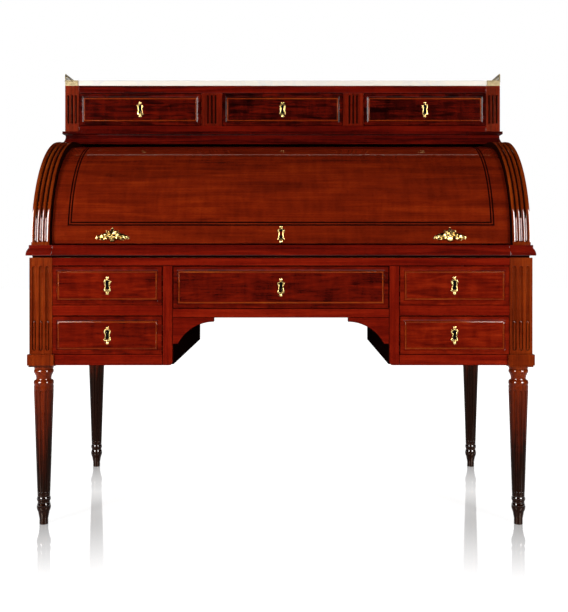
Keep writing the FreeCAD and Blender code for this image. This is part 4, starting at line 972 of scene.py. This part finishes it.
# %% Swelled plate
SWELLS = [
    # place across and up, half width and half height, stand
    ((0, 20.7), (3.8, 3.8), 3.4), ((8.2, 11.0), (1.5, 2.6), 2.4), ((-8.2, 11.0), (1.5, 2.6), 2.4),
    ((0, -19.8), (3.8, 4.4), 3.2), ((0, -13.9), (6.8, 1.2), 2.4), ((0, 16.4), (3.0, 1.0), 2.4)]


def swollen(place, half_sizes):
    """The matrix that turns a unit ball into a swelling; place and half sizes are in millimetres."""
    return Matrix.Translation(Vector(place) * MM) @ Matrix.Diagonal((*(Vector(half_sizes) * MM), 1.0))


def escutcheon_bmesh():
    """The plate standing in the plane y = 0 with its face towards -Y."""
    bm = bmesh.new()
    bm.from_mesh(settle(link("plate", plate_curve())))
    for (x, z), (wide, tall), stand in SWELLS:
        shape = swollen((x, z, 0.0), (wide, tall, stand))
        bmesh.ops.create_uvsphere(bm, u_segments=16, v_segments=10, radius=1.0, matrix=shape)
    bmesh.ops.remove_doubles(bm, verts=bm.verts, dist=MERGE_DISTANCE)
    bm.transform(Matrix.Rotation(math.pi / 2, 4, "X"))
    return bm


print("swellings:", len(SWELLS))

# %% [markdown]
# Each lock is one node: a plain plate and the case behind it. The plate is cut out and the
# escutcheon put in its place, with a near-black sheet behind the keyhole as painted shade. On the
# shutter every point is laid onto the curve.

# %% Escutcheons and locks
KEYHOLE_LIFT = 0.15 * MM
KEYHOLE_SPREAD = 1.12


def shell_face(z):
    """The shutter's surface at a height."""
    return AXIS.y - math.sqrt(max(SHELL_RADIUS ** 2 - max(z - AXIS.z, 0.0) ** 2, 0.0))


def dress_lock(node):
    """Replace a lock's plain plate by the escutcheon and keep its case."""
    body = NODE_BODY[node]
    bm = node_bmesh(node)
    plate = min(islands(bm), key=lambda verts: extent(verts)[0].y)
    low, high = extent(plate)
    middle = (low + high) / 2
    bmesh.ops.delete(bm, geom=plate, context="VERTS")
    for face in bm.faces:
        face.material_index = 1
    seat = shell_face if body == "cylinder" else lambda z: high.y
    # Painted shade: a near-black sheet that fills the keyhole.
    dark = []
    for x, z in KEYHOLE_LINE:
        height = middle.z + z * MM
        dark.append(bm.verts.new((middle.x + x * KEYHOLE_SPREAD * MM, seat(height) - KEYHOLE_LIFT, height)))
    bm.faces.new(dark[::-1]).material_index = 2
    plate_bm = escutcheon_bmesh()
    plate_bm.transform(Matrix.Translation((middle.x, 0.0, middle.z)))
    for vert in plate_bm.verts:
        vert.co.y = min(vert.co.y - PLATE_CORE, 0.0) + seat(vert.co.z)
    plate_mesh = bpy.data.meshes.new("plate")
    plate_bm.to_mesh(plate_mesh)
    plate_bm.free()
    bm.from_mesh(plate_mesh)
    piece(f"{node}set", to_mesh(bm, node), body, [GILT, IRON, KEYHOLE_SHADE], [node])


LOCKS = sorted(node for node in NODE_SLOT if node.endswith("_lock"))
for node in LOCKS:
    dress_lock(node)
print("locks:", len(LOCKS))

# %% [markdown]
# The two handles are sprays of acanthus, cast and chased: an upright leaf, a bud hanging below
# it, and on each side leaves that droop and thin outwards. One leaf is a grid along its rib and
# across it. Its outline is lobed by a wave, it is arched like a gutter, and veins run out from
# the rib. Turned and scaled copies of that one rule make the whole spray.

# %% One leaf
LEAF_ALONG = 30
LEAF_ACROSS = 14
LEAF_TAPER = 0.35
LOBE_DEPTH = 0.26
LEAF_SWEEP = 0.25
GUTTER = 0.75
VEIN_RELIEF = 0.9
RIB_DEPTH = 1.4
RIB_SHARPNESS = 5.0
LEAST_STAND = 0.2
CAST_FOOT = 0.3 * MM


def half_wave(share, start, power):
    """A sine that begins a little way up and ends at nothing."""
    return math.sin(math.pi * min(start + share * (1.0 - start), 1.0)) ** power


def add_leaf(bm, side, out, up, turn, length, half, lobes, arch, droop):
    """One lobed leaf, lying on the shutter at the given place of its spray."""
    angle = math.radians(turn)
    tops = []
    feet = []
    for i in range(LEAF_ALONG + 1):
        share = i / LEAF_ALONG
        swell = half_wave(share, start=0.08, power=0.6) * (1.0 - LEAF_TAPER * share)
        lobe = 1.0 - LOBE_DEPTH + LOBE_DEPTH * abs(math.cos(math.pi * lobes * share))
        crown = arch * half_wave(share, start=0.12, power=0.7)
        top_row = []
        foot_row = []
        for j in range(LEAF_ACROSS + 1):
            across = 2.0 * j / LEAF_ACROSS - 1.0
            u = length * share + half * LEAF_SWEEP * abs(across) * swell
            v = half * across * swell * lobe
            fold = 1.0 - GUTTER * across * across
            wave = math.cos(math.pi * lobes * 2.0 * share)
            veins = VEIN_RELIEF * wave * abs(across) * (1.0 - across * across)
            rib = -RIB_DEPTH * max(0.0, 1.0 - abs(across) * RIB_SHARPNESS)
            stand = max(crown * fold + veins + rib - droop * share * share, LEAST_STAND)
            x = side * (out + u * math.cos(angle) - v * math.sin(angle)) * MM
            z = (up + u * math.sin(angle) + v * math.cos(angle)) * MM
            top_row.append(bm.verts.new((x, -stand * MM, z)))
            foot_row.append(bm.verts.new((x, CAST_FOOT, z)))
        tops.append(top_row)
        feet.append(foot_row)
    close_slab(bm, tops, feet)


print("leaf grid", LEAF_ALONG, "by", LEAF_ACROSS)

# %% [markdown]
# The bud is a ball that is fluted by a cosine round its axis and then stretched. Three berries sit
# where it meets the leaves and hide the joint, as berries often do on such castings.

# %% Bud and berries
BERRIES = [(-5.0, -5.5, 2.6), (5.0, -5.5, 2.6), (0.0, -3.5, 3.0)]
BERRY_STAND = 8.5
BUD_PLACE = (0.0, -4.0, -12.0)
BUD_HALF = (6.2, 6.5, 9.0)
BUD_FLUTES = 9
BUD_FLUTE_DEPTH = 0.09


def add_bud(bm):
    """The fluted bud that hangs under the upright leaf, and three berries above it."""
    shape = swollen(BUD_PLACE, BUD_HALF)
    made = bmesh.ops.create_uvsphere(bm, u_segments=36, v_segments=18, radius=1.0)
    for vert in made["verts"]:
        flute = 1.0 + BUD_FLUTE_DEPTH * math.cos(BUD_FLUTES * math.atan2(vert.co.y, vert.co.x))
        vert.co = shape @ Vector((vert.co.x * flute, vert.co.y * flute, vert.co.z))
    for x, z, radius in BERRIES:
        place = Matrix.Translation(Vector((x, -BERRY_STAND, z)) * MM)
        bmesh.ops.create_uvsphere(bm, u_segments=14, v_segments=10, radius=radius * MM, matrix=place)


print("bud flutes", BUD_FLUTES, "berries", len(BERRIES))

# %% [markdown]
# One spray is built flat, with its left and right leaves, and then used twice. Each copy goes to its
# place on the shutter, and every point is laid onto the curve.

# %% Handles
HANDLE_Z = AXIS.z + 20.5 * MM
HANDLE_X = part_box("cylinder_handles")[1].x - 47.5 * MM
UPRIGHT = 90.0
LEAVES = [
    # way out, up, turn in degrees, length, half width, lobes, rise of the arch, droop of the tip
    (0.0, -8.0, UPRIGHT, 28.0, 8.0, 3, 9.0, 4.0),
    (1.0, 9.0, -52.0, 24.0, 5.5, 2, 8.0, 1.0),
    (2.0, 2.0, 30.0, 17.0, 6.5, 2, 7.5, 2.5),
    (5.0, 1.0, -15.0, 43.0, 9.5, 4, 7.0, 3.0),
    (4.0, -6.0, -16.0, 30.0, 7.5, 3, 8.0, 2.5),
    (26.0, -5.0, -24.0, 18.0, 5.5, 2, 6.0, 2.0),
]


def build_handles():
    bm = bmesh.new()
    for leaf in LEAVES:
        for side in (-1, 1):
            if leaf[2] != UPRIGHT or side > 0:
                add_leaf(bm, side, *leaf)
    add_bud(bm)
    bmesh.ops.recalc_face_normals(bm, faces=bm.faces)
    single = bpy.data.meshes.new("spray")
    bm.to_mesh(single)
    bm.clear()
    for side in (-1, 1):
        start = len(bm.verts)
        bm.from_mesh(single)
        bm.verts.ensure_lookup_table()
        for vert in bm.verts[start:]:
            vert.co += Vector((side * HANDLE_X, 0.0, HANDLE_Z))
            vert.co.y += shell_face(vert.co.z)
    return to_mesh(bm, "handles")


piece("acanthus_handles", build_handles(), "cylinder", [GILT], ["cylinder_handles"])
print("handles at x", round(HANDLE_X, 4), "z", round(HANDLE_Z, 4))

# %% [markdown]
# Two things on the desk repeat along straight runs: the gallery and the gilt tooling. Geometry
# Nodes make them. A mesh of bare edges gives the runs, a tree turns them into curves, sets points
# on them at a pitch and puts a shape on each point, and the result becomes a plain mesh.

# %% Geometry Nodes helpers
def geometry_tree(name, sizes):
    """A tree with named sizes; returns it, its inputs, their identifiers and the runs as curves."""
    tree = bpy.data.node_groups.new(name, "GeometryNodeTree")
    sockets = tree.interface
    sockets.new_socket("Geometry", in_out="INPUT", socket_type="NodeSocketGeometry")
    sockets.new_socket("Geometry", in_out="OUTPUT", socket_type="NodeSocketGeometry")
    keys = {}
    for label in sizes:
        keys[label] = sockets.new_socket(label, in_out="INPUT", socket_type="NodeSocketFloat").identifier
    inputs = put(tree, "NodeGroupInput").outputs
    runs = put(tree, "GeometryNodeMeshToCurve", {"Mesh": inputs["Geometry"]}).outputs[0]
    return tree, inputs, keys, runs


def end_tree(tree, geometry, finish):
    """Realize the instances, set the material and close the tree."""
    solid = put(tree, "GeometryNodeRealizeInstances", {"Geometry": geometry})
    painted = put(tree, "GeometryNodeSetMaterial", {"Geometry": solid.outputs[0], "Material": finish})
    put(tree, "NodeGroupOutput", {"Geometry": painted.outputs[0]})


def grow(name, runs, tree, keys, sizes):
    """Run a tree over straight runs and return the plain mesh."""
    path = bpy.data.meshes.new(name)
    points = [point for run in runs for point in run]
    path.from_pydata(points, [(2 * i, 2 * i + 1) for i in range(len(runs))], [])
    helper = link(name, path)
    modifier = helper.modifiers.new(name, "NODES")
    modifier.node_group = tree
    for label, value in sizes.items():
        modifier[keys[label]] = value
    return settle(helper)


def joined(tree, parts):
    """Several geometries as one."""
    whole = put(tree, "GeometryNodeJoinGeometry")
    for part in parts:
        tree.links.new(part, whole.inputs[0])
    return whole.outputs[0]


def tube(tree, curve, radius, sides):
    """A round bar along a curve."""
    ring = put(tree, "GeometryNodeCurvePrimitiveCircle", {"Resolution": sides, "Radius": radius})
    swept = put(tree, "GeometryNodeCurveToMesh", {
        "Curve": curve, "Profile Curve": ring.outputs[0], "Fill Caps": True})
    return swept.outputs[0]


def along_run(tree, curve, pitch, shape):
    """Copies of a shape at a pitch along each run, with X along the run."""
    points = put(tree, "GeometryNodeCurveToPoints", {"Curve": curve, "Length": pitch}, mode="LENGTH")
    turned = put(tree, "FunctionNodeAlignEulerToVector", {"Vector": points.outputs["Tangent"]}, axis="X")
    placed = put(tree, "GeometryNodeInstanceOnPoints", {
        "Points": points.outputs["Points"], "Instance": shape, "Rotation": turned.outputs[0]})
    return placed.outputs[0]


print("geometry helpers ready")

# %% [markdown]
# The gallery is a pierced brass rail on three sides of the marble, sawn and soldered on the real
# desk. Points at a pitch on each run carry a ring and a post, a wire closes the foot, and a round
# rail closes the top.

# %% Gallery openwork
GALLERY_LOW, GALLERY_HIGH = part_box("gallery")
MARBLE_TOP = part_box("marble_top")[1].z
GALLERY_BOARD = 3 * MM
RAIL = 1.5 * MM
OPENWORK = {"Pitch": 14 * MM, "Height": GALLERY_HIGH.z - MARBLE_TOP - RAIL, "Ring": 6.2 * MM,
            "Wire": 0.95 * MM, "Rail": RAIL}
RING_SIDES = 20
WIRE_SIDES = 8
RAIL_SIDES = 14


def vector_node(tree, **parts):
    """A vector put together from its axes."""
    return put(tree, "ShaderNodeCombineXYZ", parts).outputs[0]


def gallery_tree():
    tree, sizes, keys, runs = geometry_tree("gallery openwork", OPENWORK)
    half_height = math_node(tree, "MULTIPLY", sizes["Height"], 0.5)
    half_pitch = math_node(tree, "MULTIPLY", sizes["Pitch"], 0.5)
    ring = put(tree, "GeometryNodeCurvePrimitiveCircle", {"Resolution": RING_SIDES, "Radius": sizes["Ring"]})
    upright = put(tree, "GeometryNodeTransform", {
        "Geometry": ring.outputs[0], "Translation": vector_node(tree, Z=half_height),
        "Rotation": (math.pi / 2, 0.0, 0.0)})
    post = put(tree, "GeometryNodeCurvePrimitiveLine", {
        "Start": vector_node(tree, X=half_pitch), "End": vector_node(tree, X=half_pitch, Z=sizes["Height"])})
    unit = joined(tree, [tube(tree, made.outputs[0], sizes["Wire"], WIRE_SIDES) for made in (upright, post)])
    rail_path = put(tree, "GeometryNodeTransform", {
        "Geometry": runs, "Translation": vector_node(tree, Z=sizes["Height"])})
    whole = joined(tree, [along_run(tree, runs, sizes["Pitch"], unit),
                          tube(tree, rail_path.outputs[0], sizes["Rail"], RAIL_SIDES),
                          tube(tree, runs, sizes["Wire"], WIRE_SIDES)])
    end_tree(tree, whole, BRASS)
    return tree, keys


left, right = GALLERY_LOW.x + GALLERY_BOARD / 2, GALLERY_HIGH.x - GALLERY_BOARD / 2
fore, rear = GALLERY_LOW.y + GALLERY_BOARD / 2, GALLERY_HIGH.y - GALLERY_BOARD / 2
corners = [(*point, MARBLE_TOP) for point in ((left, fore), (left, rear), (right, rear), (right, fore))]
openwork = grow("openwork", list(zip(corners, corners[1:])), *gallery_tree(), OPENWORK)
print("openwork faces", len(openwork.polygons))

# %% [markdown]
# Under the openwork a plain band holds the marble, with short returns at the front. It is the lower
# part of the CAD copy, cut off level with the marble. A row of pearls runs along it, and a small
# post with a ball stands at each corner, where such galleries are pinned.

# %% Gallery band, pearls and corner posts
PEARLS = {"Pitch": 4.2 * MM, "Pearl": 1.5 * MM}
PEARL_DROP = 2.6 * MM
RETURN = 39 * MM
POST_RADIUS = 2.0 * MM
POST_TAPER = 0.8
POST_SIDES = 14


def pearl_tree():
    tree, sizes, keys, runs = geometry_tree("row of pearls", PEARLS)
    pearl = put(tree, "GeometryNodeMeshIcoSphere", {"Radius": sizes["Pearl"], "Subdivisions": 2})
    end_tree(tree, along_run(tree, runs, sizes["Pitch"], pearl.outputs[0]), BRASS)
    return tree, keys


pearls_z = MARBLE_TOP - PEARL_DROP
near, far = GALLERY_LOW, GALLERY_HIGH
pearl_plan = [
    ((near.x, fore), (near.x, rear)), ((far.x, fore), (far.x, rear)), ((left, far.y), (right, far.y)),
    ((near.x, near.y), (near.x + RETURN, near.y)), ((far.x - RETURN, near.y), (far.x, near.y))]
pearl_runs = [[(*point, pearls_z) for point in run] for run in pearl_plan]
pearls = grow("pearls", pearl_runs, *pearl_tree(), PEARLS)
band = node_bmesh("gallery")
cut = bmesh.ops.bisect_plane(band, geom=[*band.verts, *band.edges, *band.faces],
                             plane_co=(0, 0, MARBLE_TOP), plane_no=(0, 0, 1), clear_outer=True)
rim = [item for item in cut["geom_cut"] if isinstance(item, bmesh.types.BMEdge)]
bmesh.ops.triangle_fill(band, edges=rim, use_beauty=True)
post_height = GALLERY_HIGH.z - MARBLE_TOP - POST_RADIUS
for x in (left, right):
    for y in (fore, rear):
        place = Matrix.Translation((x, y, MARBLE_TOP + post_height / 2))
        bmesh.ops.create_cone(band, cap_ends=True, segments=POST_SIDES, radius1=POST_RADIUS,
                              radius2=POST_RADIUS * POST_TAPER, depth=post_height, matrix=place)
        ball = Matrix.Translation((x, y, GALLERY_HIGH.z - POST_RADIUS))
        bmesh.ops.create_uvsphere(
            band, u_segments=POST_SIDES, v_segments=10, radius=POST_RADIUS, matrix=ball)
for part in (openwork, pearls):
    band.from_mesh(part)
piece("pierced_gallery", to_mesh(band, "gallery"), NODE_BODY["gallery"], [BRASS], ["gallery"])
print("pearls", len(pearls.polygons), "faces")

# %% [markdown]
# The writing slide carries a panel of green leather with a gilt-tooled border: two fine lines and
# a row of small lozenges between them. Gold leaf has no thickness to speak of, so the stamps stand
# a tenth of a millimetre proud. Geometry Nodes lay them at a pitch along the four sides.

# %% Leather and its tooling
STAMPS = {"Pitch": 7 * MM, "Stamp": 2.4 * MM}
TOOL_LIFT = 0.1 * MM
TOOL_INSET = 16 * MM
LINE_WIDTH = 0.9 * MM
LINE_SPREAD = 6 * MM
dress("slide_leather", None)
hide_low, hide_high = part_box("slide_leather")


def tooling_tree():
    tree, sizes, keys, runs = geometry_tree("gilt tooling", STAMPS)
    stamp = put(tree, "GeometryNodeMeshCircle", {"Vertices": 4, "Radius": sizes["Stamp"]}, fill_type="NGON")
    end_tree(tree, along_run(tree, runs, sizes["Pitch"], stamp.outputs[0]), GILT)
    return tree, keys


def border(inset):
    """The four corners of a rectangle inside the leather, on its surface."""
    return [(x, y, hide_high.z + TOOL_LIFT) for x, y in rectangle(hide_low.xy, hide_high.xy, inset)]


stamp_path = border(TOOL_INSET)
stamps = grow("stamps", list(zip(stamp_path, stamp_path[1:] + stamp_path[:1])), *tooling_tree(), STAMPS)
tooling = bmesh.new()
tooling.from_mesh(stamps)
for inset in (TOOL_INSET - LINE_SPREAD, TOOL_INSET + LINE_SPREAD):
    outside = [tooling.verts.new(corner) for corner in border(inset)]
    inside = [tooling.verts.new(corner) for corner in border(inset + LINE_WIDTH)]
    for i in range(4):
        after = (i + 1) % 4
        tooling.faces.new([outside[i], outside[after], inside[after], inside[i]])
bmesh.ops.recalc_face_normals(tooling, faces=tooling.faces)
if sum(face.normal.z for face in tooling.faces) < 0:
    bmesh.ops.reverse_faces(tooling, faces=tooling.faces)
piece("gilt_tooling", to_mesh(tooling, "tooling"), "writing_slide", [GILT])
print("tooling stamps", len(stamps.polygons))

# %% [markdown]
# The studio is made of flat boards: a floor, a flag and two cards. They aren't pieces of the desk
# and ride on no body. Some of them are there for the reflections alone, and a board can be hidden from
# every other kind of ray.

# %% Studio helpers
WHITE = (1.0, 1.0, 1.0, 1.0)


def seen_ray(tree):
    """1 for camera, glossy and transmission rays."""
    path = put(tree, "ShaderNodeLightPath").outputs
    either = math_node(tree, "MAXIMUM", path["Is Camera Ray"], path["Is Glossy Ray"])
    return math_node(tree, "MAXIMUM", either, path["Is Transmission Ray"])


def stage_board(name, corners, faces, surface):
    """A flat thing of the studio; surface(tree) returns the shader that it shows."""
    mesh = bpy.data.meshes.new(name)
    mesh.from_pydata(corners, [], faces)
    finish, tree, _ = material(name)
    tree.nodes.clear()
    put(tree, "ShaderNodeOutputMaterial", {"Surface": surface(tree)})
    mesh.materials.append(finish)
    made = link(name, mesh)
    return made


def only_reflected(made):
    """Hide a thing from all but reflections."""
    for ray in ("camera", "diffuse", "shadow", "transmission"):
        setattr(made, f"visible_{ray}", False)


def glow(tree, strength):
    return put(tree, "ShaderNodeEmission", {"Color": WHITE, "Strength": strength}).outputs[0]


print("studio helpers ready")

# %% [markdown]
# The floor is white and runs out of sight. It is glossy near the feet, which gives the faint
# reflection of the legs, and the gloss fades with the distance from the nearest foot.

# %% Floor
FLOOR_GREY = (0.50, 0.50, 0.50, 1.0)
FLOOR_GLOW = 0.80
FLOOR_REACH = 14.0
FLOOR_ROUGHNESS = 0.05
SHADE_REACH = (0.8, 1.6)
GLOSS_FADE = (0.02, 0.52)
GLOSS_SHARE = 0.62
LEG_SPREAD = sum(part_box("leg_rear_right"), Vector()) / 2


def floor_surface(tree):
    """White for the rays that are seen, grey for light, and a mirror that fades away from the feet."""
    place = object_place(tree)
    out = put(tree, "ShaderNodeVectorMath", {0: place}, operation="LENGTH").outputs["Value"]
    level = stretch(tree, out, *SHADE_REACH, FLOOR_GLOW, 1.0)
    matt = put(tree, "ShaderNodeBsdfDiffuse", {"Color": FLOOR_GREY}).outputs[0]
    white = put(tree, "ShaderNodeAddShader", {
        0: matt, 1: glow(tree, math_node(tree, "MULTIPLY", seen_ray(tree), level))}).outputs[0]
    gloss = put(tree, "ShaderNodeBsdfGlossy", {"Color": WHITE, "Roughness": FLOOR_ROUGHNESS}).outputs[0]
    square = 0.0
    for axis, spread in (("X", LEG_SPREAD.x), ("Y", LEG_SPREAD.y)):
        off = math_node(tree, "SUBTRACT", math_node(tree, "ABSOLUTE", part_of(tree, place, axis)), spread)
        square = math_node(tree, "MULTIPLY_ADD", off, off, square)
    share = stretch(tree, math_node(tree, "SQRT", square), *GLOSS_FADE, GLOSS_SHARE, 0.0)
    return put(tree, "ShaderNodeMixShader", {0: share, 1: white, 2: gloss}).outputs[0]


stage_board("studio_floor", [(x, y, 0) for x, y in rectangle((-FLOOR_REACH,) * 2, (FLOOR_REACH,) * 2, 0.0)],
            [(0, 1, 2, 3)], floor_surface)
print("floor reach", FLOOR_REACH)

# %% [markdown]
# A dark flag in front, overhead and on both sides is seen only by reflections: it keeps the polish
# deep between the highlights. A ray that comes from the floor finds it white, so that the floor
# doesn't mirror the flag. The start of a ray is worked out from its length and its direction.

# %% Flag
FLAG_Y = -2.75
FLAG_HALF = 3.6
FLAG_FOOT = 0.02
FLAG_TOP = 3.6
FLAG_REAR = 9.0
FLOOR_SKIN = 2 * MM


def flag_surface(tree):
    """Dark, but white for the rays that start on the floor."""
    ray = put(tree, "ShaderNodeLightPath").outputs["Ray Length"]
    here = put(tree, "ShaderNodeNewGeometry").outputs
    back = put(tree, "ShaderNodeVectorMath", {
        0: here["Incoming"], "Scale": ray}, operation="SCALE").outputs[0]
    start = put(tree, "ShaderNodeVectorMath", {0: here["Position"], 1: back}, operation="ADD").outputs[0]
    return glow(tree, math_node(tree, "LESS_THAN", part_of(tree, start, "Z"), FLOOR_SKIN))


flag_corners = [(x, y, z) for y in (FLAG_Y, FLAG_REAR) for z in (FLAG_FOOT, FLAG_TOP)
                for x in (-FLAG_HALF, FLAG_HALF)]
only_reflected(stage_board("studio_flag", flag_corners, [
    (0, 1, 3, 2), (2, 3, 7, 6), (1, 5, 7, 3), (4, 0, 2, 6)], flag_surface))
print("flag top", FLAG_TOP)

# %% [markdown]
# Two tall windows, one on each side of the camera, are what the polish mirrors: they leave the pair
# of white streaks low on the quadrants, where the flutes face forward, and the points on the rings
# of the legs. They are cards that only reflections see, soft along their inner edge.

# %% Cards
CARD_SOFT = (1.40, 1.52)
CARD_OUTER = 2.90
CARD_Y = -2.32
CARD_FOOT = 0.72
CARD_TOP = 2.35
CARD_GLOW = 24.0


def card_surface(tree):
    """Bright, and fading to nothing along the inner edge."""
    aside = math_node(tree, "ABSOLUTE", part_of(tree, object_place(tree), "X"))
    return glow(tree, stretch(tree, aside, *CARD_SOFT, 0.0, CARD_GLOW))


card_corners = [(side * across, CARD_Y, level) for side in (-1, 1) for across, level in rectangle(
    (CARD_SOFT[0], CARD_FOOT), (CARD_OUTER, CARD_TOP), 0.0)]
only_reflected(stage_board("studio_cards", card_corners, [(0, 1, 2, 3), (4, 5, 6, 7)], card_surface))
print("card glow", CARD_GLOW)

# %% [markdown]
# The lamps beside the cards light the desk and stay out of the reflections, so that light and
# mirrored shapes can be set one by one. The world is white to the eye and dim as a light.

# %% Lamps and world
WORLD_LEVEL = 0.20
SOFTBOXES = [
    # name, place, aim, width, height, power in watts
    ("key", (-1.90, -2.20, 0.92), (-0.1, 0.0, 0.60), 0.62, 0.85, 58.0),
    ("fill", (1.85, -2.30, 0.95), (0.1, 0.0, 0.60), 0.50, 0.80, 41.0),
    ("top", (0.0, -1.0, 3.2), (0.0, 0.0, 0.9), 2.4, 1.6, 10.0),
    ("rear", (0.0, 2.2, 2.9), (0.0, 0.3, 1.0), 2.4, 1.2, 38.0),
]
for name, place, aim, width, height, power in SOFTBOXES:
    lamp = bpy.data.lights.new(f"studio_{name}", "AREA")
    lamp.shape = "RECTANGLE"
    lamp.size = width
    lamp.size_y = height
    lamp.energy = power
    holder = link(f"studio_{name}", lamp)
    holder.visible_glossy = False
    holder.location = place
    holder.rotation_euler = (Vector(aim) - Vector(place)).to_track_quat("-Z", "Y").to_euler()
world = bpy.data.worlds.new("studio")
world.use_nodes = True
bpy.context.scene.world = world
sky = world.node_tree
fill(sky, sky.nodes["Background"].inputs, {
    "Color": WHITE, "Strength": stretch(sky, seen_ray(sky), 0.0, 1.0, WORLD_LEVEL, 1.0)})
print("lamps:", len(SOFTBOXES))

# %% [markdown]
# The camera stands level with the writing slide, a little to the right of the middle. The picture
# was cropped off centre, so the lens is shifted by the offset of its axis from the frame's centre.

# %% Camera
PICTURE = (568, 612)
PRINCIPAL = (293, 252)
FOCAL_PIXELS = 865
SENSOR = 36.0
EYE_PLACE = (0.032, -2.635, 0.729)
eye = bpy.data.cameras.new("camera")
eye.sensor_width = SENSOR
eye.lens = FOCAL_PIXELS * SENSOR / max(PICTURE)
eye.shift_x = (PICTURE[0] / 2 - PRINCIPAL[0]) / max(PICTURE)
eye.shift_y = (PRINCIPAL[1] - PICTURE[1] / 2) / max(PICTURE)
camera = link("camera", eye)
camera.location = EYE_PLACE
camera.rotation_euler = (math.pi / 2, 0.0, 0.0)
bpy.context.scene.camera = camera
bpy.context.scene.view_settings.view_transform = "Standard"
print("lens", round(eye.lens, 2), "mm")

# %% [markdown]
# Last, the number of finished pieces is printed. Last, the size of the dressed desk is written
# beside that of the imported model, because the looks have to stay inside it.

# %% Count of pieces
print("pieces", len(PIECES))
